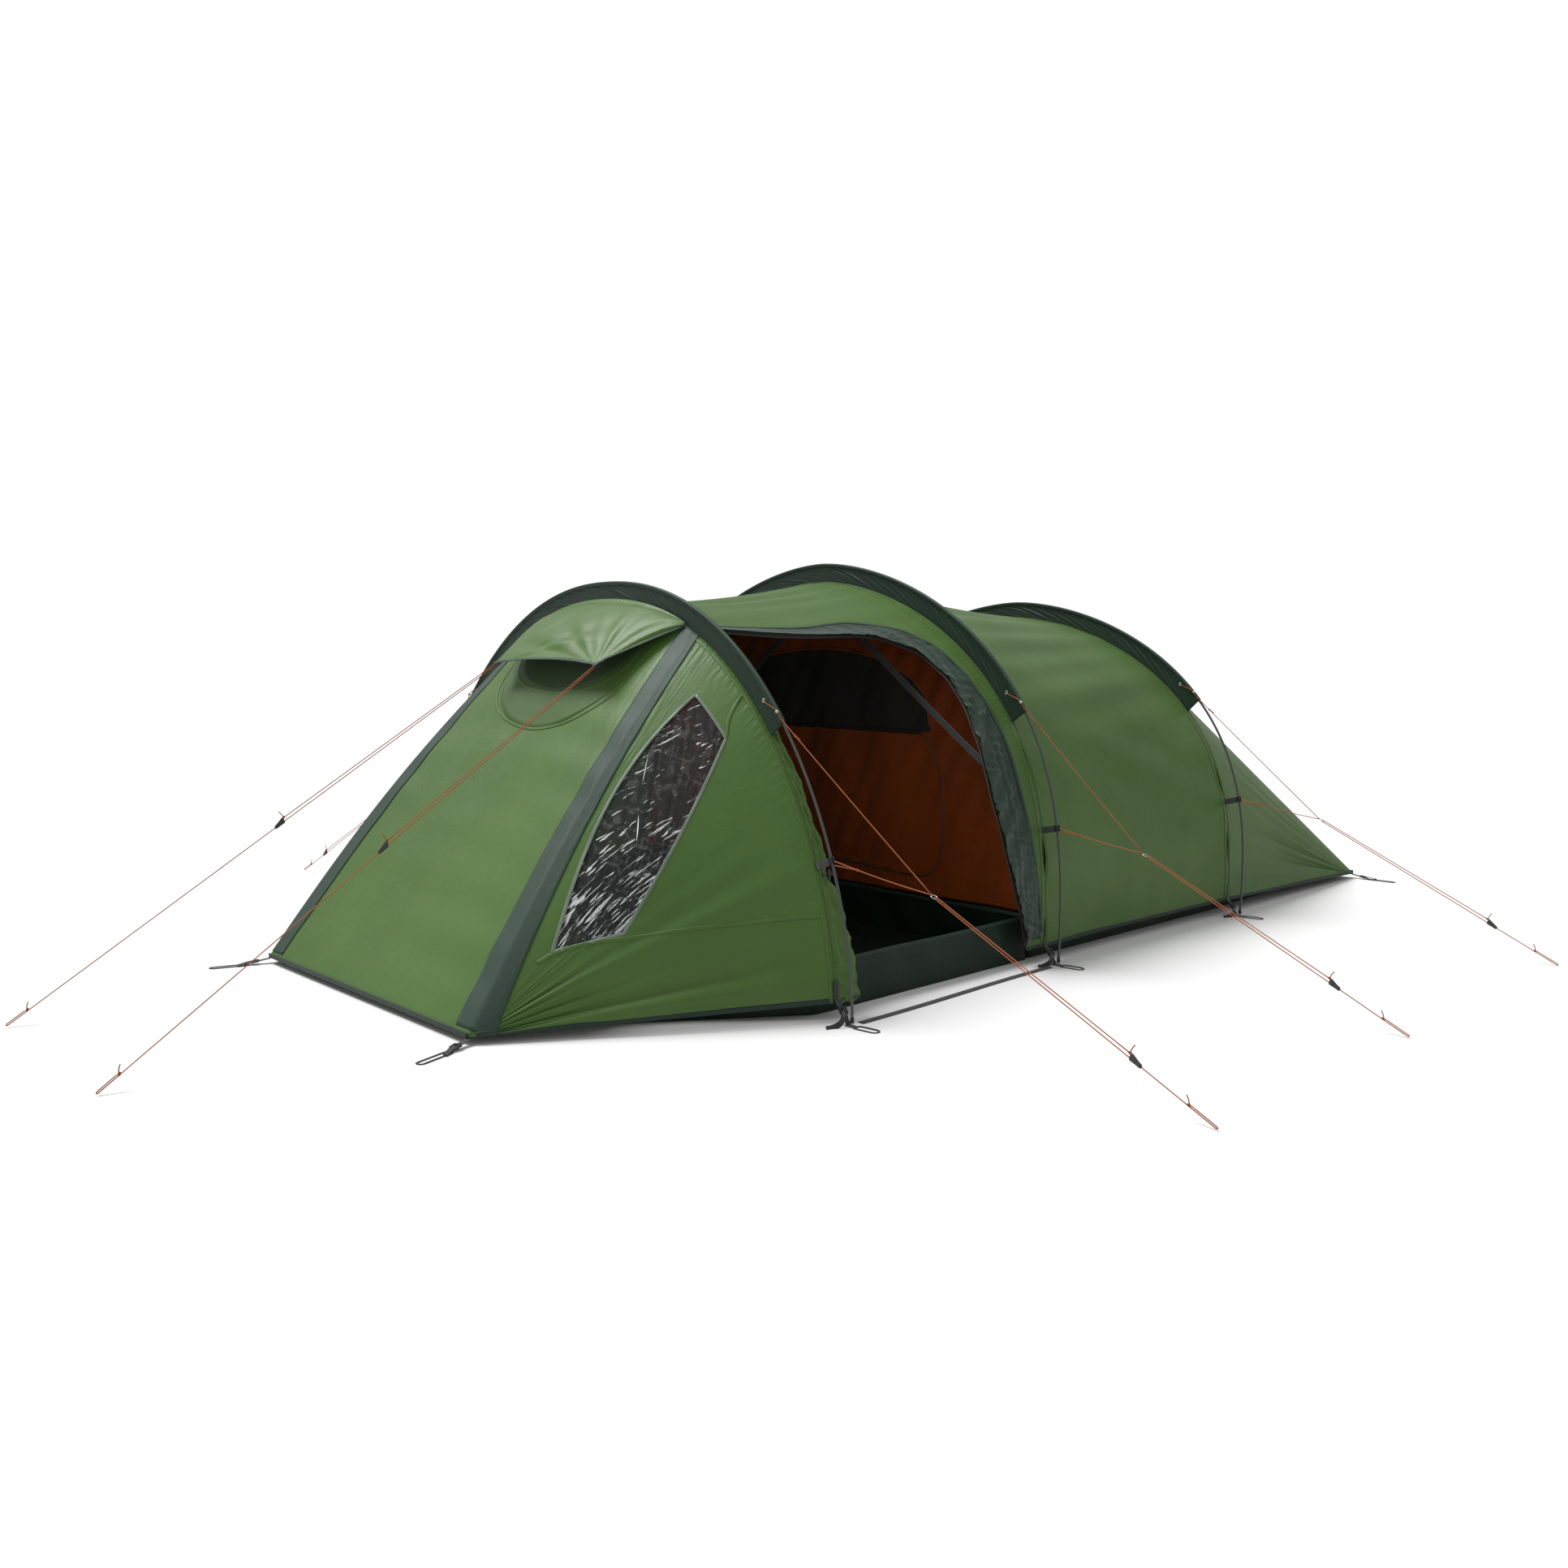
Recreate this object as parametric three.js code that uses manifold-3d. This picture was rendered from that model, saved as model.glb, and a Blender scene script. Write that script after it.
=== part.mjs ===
// A three-hoop tunnel tent, pitched with its side door open. Millimetres, +Z up.
// +Y runs along the tunnel from the porch (front) to the tail (rear), +X is the door side, and the ground is Z = 0.
// The origin is on the ground under the middle of the tent's box.
import * as THREE from "three";
import { mergeVertices } from "three/addons/utils/BufferGeometryUtils.js";
import Module from "manifold-3d";

const wasm = await Module();
wasm.setup();

// ---- Driving dimensions ----

// Each hoop's pole line is a superellipse: |x/halfWidth|^n + (z/height)^m = 1, in a plane that leans to the rear.
const HOOPS = {
  front: { halfWidth: 1209, height: 1253, n: 2.191, m: 1.649, footY: -1160, lean: 0.059 },
  middle: { halfWidth: 1180, height: 1350, n: 1.758, m: 2.73, footY: -151, lean: 0.056 },
  rear: { halfWidth: 1189, height: 1226, n: 1.758, m: 2.73, footY: 1027, lean: 0.102 },
};
const POLE_RADIUS = 4.25;
const POLE_FOOT_Z = 12; // the pole stands on its foot pin
const FIN = 62; // depth of the pole sleeve between the fly and the pole
const SLEEVE_END_Z = 826; // the sleeves stop here, and the poles run on bare
const FLY = 5; // thickness of every fly panel
const HEM_Z = 55; // the fly's hem above the ground at the hoops

const PORCH_CORNER = new THREE.Vector3(635, -2027, 22);
const TAIL_CORNER = new THREE.Vector3(1110, 2195, 22);
const PORCH_STRIP = 0.369; // where the porch's corner seam meets the front hoop, as a share of its length
const TAIL_STRIP = 0.27;
const HOOD_TIP = new THREE.Vector3(287, -1350, 990);

const SILL = 148; // height of the groundsheet's upturned sides
const SHEETING = 4; // thickness of groundsheets and inner tent fabric
const CORD_RADIUS = 1.5;
const WEBBING = 2.4;

// Guy lines: places on the plane of each hoop, as distance from the middle line and height.
const BRIDLE = { tab: 450, ring: [1480, 400], anchor: [2315, 6] };
const SIDE_RUNNER = 686; // from the ring to the runner
const SIDE_KNOT = 841; // from the ring to the end loop's knot
const FRONT_ANCHOR = new THREE.Vector3(390, -2868, 6);
const FRONT_RUNNER = 886; // from the hood tip to the runner
const FRONT_KNOT = 1738;

// ---- Small tools ----

const lerp = (a, b, t) => a + (b - a) * t;
const vec = (x, y, z) => new THREE.Vector3(x, y, z);
const mirrored = (p) => vec(-p.x, p.y, p.z);
const colours = {
  fly: [0x5f8250, 0.55, 0],
  dark: [0x2d4a3a, 0.6, 0],
  strip: [0x4b6458, 0.65, 0],
  inner: [0x9c4f17, 0.8, 0],
  mesh: [0x1a1a18, 0.9, 0],
  ground: [0x1f3a2a, 0.6, 0],
  window: [0xc8d0d0, 0.1, 0],
  pole: [0x55585a, 0.35, 0.6],
  webbing: [0x2b2c2c, 0.8, 0],
  plastic: [0x1c1c1e, 0.4, 0],
  cord: [0xc87a4e, 0.8, 0],
};
const materials = Object.fromEntries(
  Object.entries(colours).map(([name, [color, roughness, metalness]]) => [
    name,
    new THREE.MeshStandardMaterial({ color, roughness, metalness }),
  ]),
);

const tent = new THREE.Group();
const addMesh = (name, geometry, look) => {
  const mesh = new THREE.Mesh(geometry, materials[look]);
  mesh.name = name;
  tent.add(mesh);
  return mesh;
};

function toSolid(geometry) {
  const bare = new THREE.BufferGeometry().setAttribute("position", geometry.getAttribute("position"));
  if (geometry.index) bare.setIndex(geometry.index);
  const merged = mergeVertices(bare, 1e-3);
  return new wasm.Manifold(
    new wasm.Mesh({
      numProp: 3,
      vertProperties: new Float32Array(merged.attributes.position.array),
      triVerts: new Uint32Array(merged.index.array),
    }),
  );
}

function toGeometry(solid) {
  const mesh = solid.getMesh();
  return new THREE.BufferGeometry()
    .setAttribute("position", new THREE.BufferAttribute(new Float32Array(mesh.vertProperties), 3))
    .setIndex(new THREE.BufferAttribute(new Uint32Array(mesh.triVerts), 1));
}

const join = (geometries) => toGeometry(geometries.map(toSolid).reduce((a, b) => a.add(b)));
const cut = (geometry, tools) => toGeometry(tools.map(toSolid).reduce((a, b) => a.subtract(b), toSolid(geometry)));

// Moves every vertex of a geometry through place(x, y, z).
function warp(geometry, place) {
  const p = geometry.attributes.position;
  for (let i = 0; i < p.count; i++) {
    const q = place(p.getX(i), p.getY(i), p.getZ(i));
    p.setXYZ(i, q.x, q.y, q.z);
  }
  return geometry;
}

// A sheet of even thickness whose middle surface is pointAt(u, v), with u and v from 0 to 1. Past lastNormal the sheet
// keeps that row's normals, for surfaces that narrow to a point at v = 1.
function sheet(pointAt, across, along, thickness = FLY, lastNormal = 1) {
  const step = 1e-3;
  const normalAt = (u, v) => {
    const u0 = Math.max(0, u - step);
    const v0 = Math.max(0, v - step);
    const alongU = pointAt(Math.min(1, u + step), v).sub(pointAt(u0, v));
    const alongV = pointAt(u, Math.min(1, v + step)).sub(pointAt(u, v0));
    return alongU.cross(alongV).normalize();
  };
  const box = new THREE.BoxGeometry(1, 1, 1, across, along, 1);
  // The back is split along the same diagonals as the front, so the two sides of a twisted sheet stay apart.
  const { start, count } = box.groups[5];
  for (let i = start; i < start + count; i += 6) {
    const [a, b, d, , c] = box.index.array.slice(i, i + 6);
    box.index.array.set([a, b, c, a, c, d], i);
  }
  return warp(box, (x, y, z) => {
    const u = x + 0.5;
    const v = y + 0.5;
    return pointAt(u, v).addScaledVector(normalAt(u, Math.min(v, lastNormal)), z * thickness);
  });
}

// A route through a list of points, stepped point by point, for tubes whose straight runs need few steps.
class Route extends THREE.Curve {
  constructor(points) {
    super();
    this.points = points;
  }
  getPoint(t) {
    const last = this.points.length - 1;
    const i = Math.min(last - 1, Math.floor(t * last + 1e-9));
    return this.points[i].clone().lerp(this.points[i + 1], t * last - i);
  }
  getTangent(t) {
    const last = this.points.length - 1;
    const i = Math.round(t * last);
    const from = this.points[Math.max(0, i - 1)];
    const here = this.points[i];
    const to = this.points[Math.min(last, i + 1)];
    const back = here.clone().sub(from).normalize();
    return back.add(to.clone().sub(here).normalize()).normalize();
  }
  getPointAt(t) {
    return this.getPoint(t);
  }
  getTangentAt(t) {
    return this.getTangent(t);
  }
}

function circle(radius, sides) {
  const corner = (i) => (i / sides) * 2 * Math.PI;
  const ring = Array.from({ length: sides }, (_, i) => [radius * Math.cos(corner(i)), radius * Math.sin(corner(i))]);
  return new THREE.Shape(ring.map(([x, y]) => new THREE.Vector2(x, y)));
}

const tube = (points, radius, sides = 8) =>
  new THREE.ExtrudeGeometry(circle(radius, sides), {
    extrudePath: new Route(points),
    steps: points.length - 1,
    bevelEnabled: false,
    curveSegments: 1,
  });

// Points spread evenly from a to b, both included.
const between = (a, b, steps) => Array.from({ length: steps + 1 }, (_, i) => a.clone().lerp(b, i / steps));

// A flat outline of [y, z] pairs, extruded along X from x0 to x1.
function prismAlongX(outline, x0, x1) {
  const shape = new THREE.Shape(outline.map(([y, z]) => new THREE.Vector2(y, z)));
  const prism = new THREE.ExtrudeGeometry(shape, { depth: x1 - x0, bevelEnabled: false });
  return warp(prism, (x, y, z) => vec(z + x0, x, y));
}

// A flat outline of [x, y] pairs, extruded upwards from z0 to z1.
function prismAlongZ(outline, z0, z1, hole) {
  const shape = new THREE.Shape(outline.map(([x, y]) => new THREE.Vector2(x, y)));
  if (hole) shape.holes.push(new THREE.Path(hole.map(([x, y]) => new THREE.Vector2(x, y))));
  const prism = new THREE.ExtrudeGeometry(shape, { depth: z1 - z0, bevelEnabled: false });
  return prism.translate(0, 0, z0);
}

// A box with its centre, its direction along its length, and its up direction.
function bar(centre, direction, upward, [length, width, height]) {
  const x = direction.clone().normalize();
  const y = upward.clone().cross(x).normalize();
  const turn = new THREE.Matrix4().makeBasis(x, y, x.clone().cross(y)).setPosition(centre);
  return new THREE.BoxGeometry(length, width, height).applyMatrix4(turn);
}

// ---- Hoops ----

// A hoop's line, moved in by an inset, as a table of points at even shares of its length.
const tables = new Map();
function hoopTable(hoop, inset) {
  const key = hoop.footY + ":" + inset;
  if (!tables.has(key)) {
    const samples = 2000;
    const points = Array.from({ length: samples + 1 }, (_, i) => {
      const angle = (i / samples) * Math.PI;
      const side = Math.cos(angle);
      const x = (hoop.halfWidth - inset) * Math.sign(side) * Math.abs(side) ** (2 / hoop.n);
      const z = (hoop.height - inset) * Math.abs(Math.sin(angle)) ** (2 / hoop.m);
      return vec(x, hoop.footY + hoop.lean * z, z);
    });
    const lengths = [0];
    points.slice(1).forEach((p, i) => lengths.push(lengths[i] + p.distanceTo(points[i])));
    tables.set(key, { points, shares: lengths.map((l) => l / lengths[samples]) });
  }
  return tables.get(key);
}

// The point at a share of a hoop's length, from 0 at the door side's foot to 1 at the far foot.
function hoopAt(hoop, share, inset = 0) {
  const { points, shares } = hoopTable(hoop, inset);
  let low = 0;
  let high = shares.length - 1;
  while (high - low > 1) {
    const middle = (low + high) >> 1;
    if (shares[middle] <= share) low = middle;
    else high = middle;
  }
  const t = (share - shares[low]) / (shares[high] - shares[low]);
  return points[low].clone().lerp(points[high], Math.min(1, Math.max(0, t)));
}

// The share at which the door side of a hoop passes a height.
function shareAtHeight(hoop, z, inset = 0) {
  let low = 0;
  let high = 0.5;
  for (let i = 0; i < 40; i++) {
    const middle = (low + high) / 2;
    if (hoopAt(hoop, middle, inset).z < z) low = middle;
    else high = middle;
  }
  return low;
}

// Outward direction in the hoop's plane, and the direction along the tent that is square to the plane.
function hoopFrame(hoop, share) {
  const step = 1e-3;
  const tangent = hoopAt(hoop, Math.min(1, share + step)).sub(hoopAt(hoop, Math.max(0, share - step))).normalize();
  const square = vec(0, 1, -hoop.lean).normalize();
  return { tangent, square, outward: square.clone().cross(tangent).normalize() };
}

const SLEEVE_STEPS = 20;
const LEG_STEPS = 3; // from the foot to the pole tab, and again up to the sleeve
function addHoop(name, hoop) {
  const foot = shareAtHeight(hoop, POLE_FOOT_Z);
  const end = shareAtHeight(hoop, SLEEVE_END_Z);
  const tab = shareAtHeight(hoop, BRIDLE.tab);
  const leg = [foot, tab].flatMap((from, part) =>
    Array.from({ length: LEG_STEPS }, (_, i) => lerp(from, [tab, end][part], i / LEG_STEPS)));
  const sleeved = Array.from({ length: SLEEVE_STEPS + 1 }, (_, i) => lerp(end, 1 - end, i / SLEEVE_STEPS));
  const stations = [...leg, ...sleeved, ...leg.toReversed().map((share) => 1 - share)];
  addMesh("pole_" + name, tube(stations.map((s) => hoopAt(hoop, s)), POLE_RADIUS, 6), "pole");

  // The sleeve is a fin of doubled fabric with a round channel for the pole along its outer edge.
  const channel = POLE_RADIUS + 2.6;
  const finHalf = 1.6;
  const depth = FIN - FLY / 2 - 5;
  const outline = [[-depth, -finHalf], [-channel, -finHalf], [-channel / 2, -channel], [channel / 2, -channel],
    [channel, 0], [channel / 2, channel], [-channel / 2, channel], [-channel, finHalf], [-depth, finHalf]];
  const shape = new THREE.Shape(outline.map(([x, y]) => new THREE.Vector2(x, y)));
  shape.holes.push(circle(POLE_RADIUS + 1.1, 6));
  const straight = new THREE.ExtrudeGeometry(shape, { depth: 1, steps: SLEEVE_STEPS, bevelEnabled: false });
  const bent = warp(straight, (x, y, z) => {
    const share = lerp(end + 1e-3, 1 - end - 1e-3, z);
    const { outward, square } = hoopFrame(hoop, share);
    return hoopAt(hoop, share).addScaledVector(outward, x).addScaledVector(square, y);
  });
  addMesh("sleeve_" + name, bent, "dark");
}
Object.entries(HOOPS).forEach(([name, hoop]) => addHoop(name, hoop));

// ---- Fly ----

// The fly between two hoops is ruled from one hoop's line to the next, at equal shares of their lengths.
function bay(from, to, inset = FIN, low = HEM_Z) {
  const edge = 1 / (to.footY - from.footY); // a millimetre clear of each hoop's plane
  return (u, v) => {
    const t = lerp(edge, 1 - edge, v);
    const hem = [shareAtHeight(from, low, inset), shareAtHeight(to, low, inset)];
    const a = hoopAt(from, lerp(hem[0], 1 - hem[0], u), inset);
    const b = hoopAt(to, lerp(hem[1], 1 - hem[1], u), inset);
    return a.lerp(b, t);
  };
}

// The point of the door side's fly between the front and the middle hoop at a given y and z.
const livingBay = bay(HOOPS.front, HOOPS.middle);
function livingWall(y, z, outward = 0) {
  let low = 0;
  let high = 0.5;
  let v = 0.5;
  for (let i = 0; i < 40; i++) {
    const u = (low + high) / 2;
    const a = livingBay(u, 0).y;
    v = (y - a) / (livingBay(u, 1).y - a);
    if (livingBay(u, v).z < z) low = u;
    else high = u;
  }
  const u = (low + high) / 2;
  const alongU = livingBay(u + 0.01, v).sub(livingBay(u, v));
  const alongV = livingBay(u, v + 0.01).sub(livingBay(u, v));
  return livingBay(u, v).addScaledVector(alongU.cross(alongV).normalize(), -outward);
}

// The door's opening in the fly, as [y, z] from the ground at the front, over the top and down the rear edge.
const DOOR_TOP = 1094;
const doorFront = (z) => HOOPS.front.footY + HOOPS.front.lean * z + 8;
const DOOR_REAR = [[-450, 1090], [-352, 1066], [-290, 1010], [-274, 898], [-307, 720], [-330, 540], [-309, 332],
  [-250, 86]];
const doorOutline = [[doorFront(0), 0], [doorFront(DOOR_TOP), DOOR_TOP], [-653, DOOR_TOP], ...DOOR_REAR, [-235, 0]];
const doorHole = prismAlongX(doorOutline, 300, 1300);
addMesh("fly_living", cut(sheet(livingBay, 44, 1), [doorHole]), "fly");
addMesh("fly_bedroom", sheet(bay(HOOPS.middle, HOOPS.rear), 36, 1), "fly");

// An end section has three panels. The two side panels are cones from the hoop's sides to the fly's corners, and the
// end panel between them slopes from the hoop's top down to the straight hem.
const END_PANELS = 12; // steps of each of the three panels
const END_ROWS = 4; // steps down each panel
const CORNER_EDGE = 25; // what is left of a side panel's length at its corner
function endSection(hoop, strip, corner, toFoot, inset = FIN, low = HEM_Z, clear = 1) {
  const hem = shareAtHeight(hoop, low, inset);
  const foot = hoopAt(hoop, hem, inset);
  const side = corner.clone().add(foot.sub(corner).setLength(CORNER_EDGE));
  const shares = [hem, strip, 1 - strip, 1 - hem];
  const base = [side, corner, mirrored(corner), mirrored(side)];
  return (u, v) => {
    const panel = Math.min(2, Math.floor(u * 3 + 1e-9));
    const t = u * 3 - panel;
    const top = hoopAt(hoop, lerp(shares[panel], shares[panel + 1], t), inset).add(vec(0, clear * toFoot, 0));
    return top.lerp(base[panel].clone().lerp(base[panel + 1], t), v);
  };
}
const porch = endSection(HOOPS.front, PORCH_STRIP, PORCH_CORNER, -1);
const tail = endSection(HOOPS.rear, TAIL_STRIP, TAIL_CORNER, 1);

// Each porch side holds a clear window with four corners, as [y, z].
const WINDOW = [[-1215, 902], [-1218, 779], [-1628, 270], [-1793, 229]];
const WINDOW_SEAM = 2;
function windowOutline(inset) {
  const centre = WINDOW.reduce(([a, b], [y, z]) => [a + y / 4, b + z / 4], [0, 0]);
  return WINDOW.map(([y, z]) => {
    const away = Math.hypot(y - centre[0], z - centre[1]);
    return [lerp(y, centre[0], inset / away), lerp(z, centre[1], inset / away)];
  });
}
const porchSheet = sheet(porch, 3 * END_PANELS, END_ROWS, FLY, 0.5);
const windowHole = (side, inset) =>
  side > 0 ? prismAlongX(windowOutline(inset), 450, 1300) : prismAlongX(windowOutline(inset), -1300, -450);
addMesh("fly_porch", cut(porchSheet, [windowHole(1, 0), windowHole(-1, 0)]), "fly");
addMesh("fly_tail", sheet(tail, 3 * END_PANELS, END_ROWS, FLY, 0.5), "fly");
const paneSheet = toSolid(sheet(porch, 3 * END_PANELS, END_ROWS, 2, 0.5));
for (const [name, side] of [["window_door_side", 1], ["window_far_side", -1]])
  addMesh(name, toGeometry(paneSheet.intersect(toSolid(windowHole(side, WINDOW_SEAM)))), "window");

// The hood over the porch vent runs from the front hoop to two tips that the front guy lines pull out.
const HOOD_HALF = 0.5 - 0.382; // half of the hoop's length that the hood's root takes
function hood(u, v) {
  const root = hoopAt(HOOPS.front, lerp(0.5 + HOOD_HALF, 0.5 - HOOD_HALF, u), FIN - 12).add(vec(0, -10, 0));
  const knots = [hoopAt(HOOPS.front, 0.5 + HOOD_HALF, FIN - 12).add(vec(0, -12, -10)), mirrored(HOOD_TIP),
    HOOD_TIP.clone(), hoopAt(HOOPS.front, 0.5 - HOOD_HALF, FIN - 12).add(vec(0, -12, -10))];
  const span = Math.min(2, Math.floor(u * 3 + 1e-9));
  const t = u * 3 - span;
  const edge = knots[span].clone().lerp(knots[span + 1], t);
  const rise = span === 1 ? 45 : 22; // the edge between two held points curves up
  edge.z += rise * 4 * t * (1 - t);
  return root.lerp(edge, v);
}
addMesh("porch_hood", sheet(hood, 18, 3), "fly");

// ---- Side door: the zip's rain flap round the opening, and the door gathered along the front hoop ----

const FLAP_STEPS = 22;
const flapInner = new THREE.CatmullRomCurve3(
  [[-1040, 1097], [-653, 1097], ...DOOR_REAR].map(([y, z]) => vec(0, y, z)), false, "centripetal");
const flapOuter = new THREE.CatmullRomCurve3(
  [[-1040, 1146], [-653, 1150], [-420, 1148], [-270, 1112], [-200, 1040], [-178, 898], [-182, 720], [-192, 540],
    [-180, 332], [-164, 86]].map(([y, z]) => vec(0, y, z)), false, "centripetal");
const rainFlap = (u, v) => {
  const p = flapInner.getPoint(v).lerp(flapOuter.getPoint(v), lerp(0.02, 1, u));
  return livingWall(p.y, p.z, FLY / 2 + 5);
};
addMesh("door_rain_flap", sheet(rainFlap, 2, FLAP_STEPS, 2.5), "strip");

const GATHER_TOP = 870;
const gathered = (u, v) => {
  const z = lerp(45, GATHER_TOP, v);
  const width = lerp(105, 34, Math.min(1, v * 1.7));
  const p = hoopAt(HOOPS.front, shareAtHeight(HOOPS.front, z, FIN), FIN);
  return p.add(vec(-4, 16 + width * u, 0));
};
addMesh("door_gathered", sheet(gathered, 2, 8, 14), "fly");

const TOGGLE = { y: -1126, z: 403, radius: 4.5, length: 34 };
const toggleAt = hoopAt(HOOPS.front, shareAtHeight(HOOPS.front, TOGGLE.z, FIN), FIN).add(vec(14, 26, 0));
const toggle = tube([toggleAt.clone().add(vec(0, 0, -TOGGLE.length / 2)),
  toggleAt.clone().add(vec(0, 0, TOGGLE.length / 2))], TOGGLE.radius);
addMesh("door_toggle", toggle, "plastic");

// The outer zip's slider stands at the bottom of the opening's rear edge, with its pull tab.
const SLIDER_Y = -262;
const SLIDER_Z = 130;
const sliderAt = livingWall(SLIDER_Y, SLIDER_Z, FLY / 2 + 12);
addMesh("door_zip_slider", join([
  bar(sliderAt, vec(-21, -62, 246), vec(1, 0, 0), [20, 12, 5]),
  bar(sliderAt.clone().add(vec(3, 4, -17)), vec(-21, -62, 246), vec(1, 0, 0), [34, 6, 2.4]),
]), "plastic");

// ---- Groundsheets ----

// A groundsheet is a shallow tray: a floor and upturned sides on a plan outline of [x, y] pairs.
function tray(outline, height) {
  const centre = outline.reduce(([a, b], [x, y]) => [a + x / outline.length, b + y / outline.length], [0, 0]);
  const inner = outline.map(([x, y]) => [x - Math.sign(x - centre[0]) * SHEETING, y - Math.sign(y - centre[1]) * SHEETING]);
  return cut(prismAlongZ(outline, 0, height), [prismAlongZ(inner, SHEETING, height + 10)]);
}
const both = (half) => [...half, ...half.toReversed().map(([x, y]) => [-x, y])];
addMesh("porch_groundsheet", tray(both([[548, -1898], [1060, -1150], [1060, -150]]), SILL), "ground");
addMesh("inner_groundsheet", tray(both([[1052, -140], [1052, 1030], [985, 2008]]), SILL), "ground");

// ---- Inner tent ----

const INNER_INSET = FIN + 58;
const INNER_LOW = SILL + 6;
const innerFront = { ...HOOPS.middle, footY: HOOPS.middle.footY + 20 };
const innerRear = HOOPS.rear;
const innerTail = endSection(innerRear, TAIL_STRIP, vec(950, 1978, INNER_LOW), 1, INNER_INSET, INNER_LOW, 0);
const innerBay = bay(innerFront, innerRear, INNER_INSET, INNER_LOW);
const INNER_PANELS = 9;
// Along v, the first half is the ridge section and the second half slopes down to the tail's floor.
const innerCanopy = (u, v) => {
  if (v > 0.5) return innerTail(u, v * 2 - 1);
  const panel = Math.min(2, Math.floor(u * 3 + 1e-9));
  const hem = shareAtHeight(innerRear, INNER_LOW, INNER_INSET);
  const shares = [hem, TAIL_STRIP, 1 - TAIL_STRIP, 1 - hem];
  const share = lerp(shares[panel], shares[panel + 1], u * 3 - panel);
  return innerBay((share - hem) / (1 - 2 * hem), v * 2);
};
addMesh("inner_canopy", sheet(innerCanopy, 3 * INNER_PANELS, 2 * END_ROWS, SHEETING, 0.75), "inner");

// The inner tent's front wall stands in the middle hoop's plane, with a half-round mesh panel let into it.
const MESH_HALF = 575;
const MESH_LOW = 735;
const MESH_TOP = 1035;
function archOutline(inset, low, steps) {
  const start = shareAtHeight(HOOPS.middle, low, inset);
  return Array.from({ length: steps + 1 }, (_, i) => {
    const p = hoopAt(HOOPS.middle, lerp(start, 1 - start, i / steps), inset);
    return [p.x, p.z];
  });
}
function meshOutline(inset, steps = 14) {
  const half = MESH_HALF - inset;
  const rise = MESH_TOP - MESH_LOW - inset;
  return Array.from({ length: steps + 1 }, (_, i) => {
    const angle = (i / steps) * Math.PI;
    return [half * Math.cos(angle), MESH_LOW + inset + (rise - inset) * Math.sin(angle) ** 0.8];
  });
}
const wallY = (z) => innerFront.footY - 10 + HOOPS.middle.lean * z;
const upright = (outline, thickness, hole) =>
  warp(prismAlongZ(outline, -thickness / 2, thickness / 2, hole), (x, y, z) => vec(x, wallY(y) - z, y));
addMesh("inner_front_wall", upright(archOutline(INNER_INSET + 5, INNER_LOW, 26), SHEETING, meshOutline(0)), "inner");
addMesh("inner_mesh_panel", upright(meshOutline(3), 2), "mesh");

// The inner door's zip slider, on the zip across the foot of the door.
const INNER_SLIDER = vec(420, wallY(230) - 8, 230);
addMesh("inner_zip_slider", join([
  bar(INNER_SLIDER, vec(1, 0, 0), vec(0, -1, 0), [18, 10, 5]),
  bar(INNER_SLIDER.clone().add(vec(-16, -1, 0)), vec(1, 0, 0), vec(0, -1, 0), [30, 6, 2]),
]), "plastic");

// ---- Feet, corner loops, pole tabs and the ground strap ----

// A flat webbing loop that a peg goes through: a racetrack outline with a slot, lying on the ground.
function pegLoop(from, direction, length, width, band) {
  const ends = 4;
  const racetrack = (inset) => {
    const radius = width / 2 - inset;
    const arc = (centre, start) => Array.from({ length: ends + 1 }, (_, i) => {
      const angle = start + (i / ends) * Math.PI;
      return [centre + radius * Math.cos(angle), radius * Math.sin(angle)];
    });
    return [...arc(length - width / 2, -Math.PI / 2), ...arc(width / 2, Math.PI / 2)];
  };
  const turn = Math.atan2(direction.y, direction.x);
  return prismAlongZ(racetrack(0), 0, WEBBING, racetrack(band)).rotateZ(turn).translate(from.x, from.y, 0);
}

// A hoop foot: the pin under the pole on a webbing pad, the peg loop outwards, and the strap up to the fly's hem.
function addFoot(name, hoop, side) {
  const flip = (x, y, z) => vec(side * x, y, z);
  const pole = hoopAt(hoop, shareAtHeight(hoop, POLE_FOOT_Z));
  const hem = hoopAt(hoop, shareAtHeight(hoop, HEM_Z + 4, FIN), FIN);
  const strapFoot = flip(pole.x - 14, pole.y, 3);
  const strapTop = flip(hem.x + 4, hem.y, HEM_Z + 8);
  const climb = strapTop.clone().sub(strapFoot);
  const middle = strapFoot.clone().lerp(strapTop, 0.5);
  addMesh(name, join([
    tube([flip(pole.x, pole.y, 0.5), flip(pole.x, pole.y, POLE_FOOT_Z - 1)], 3, 6),
    bar(flip(pole.x, pole.y, WEBBING / 2), vec(1, 0, 0), vec(0, 0, 1), [38, 22, WEBBING]),
    pegLoop(flip(pole.x + 12, pole.y, 0), vec(side, 0, 0), 78, 34, 7),
    bar(middle, climb, vec(side, 0, 1), [climb.length(), 20, WEBBING]),
    bar(middle, climb, vec(side, 0, 1), [26, 27, 6]),
    bar(flip(pole.x - 34, pole.y - 30, WEBBING / 2), vec(0.5 * side, 1, 0), vec(0, 0, 1), [70, 18, WEBBING]),
  ]), "webbing");
}

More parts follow.
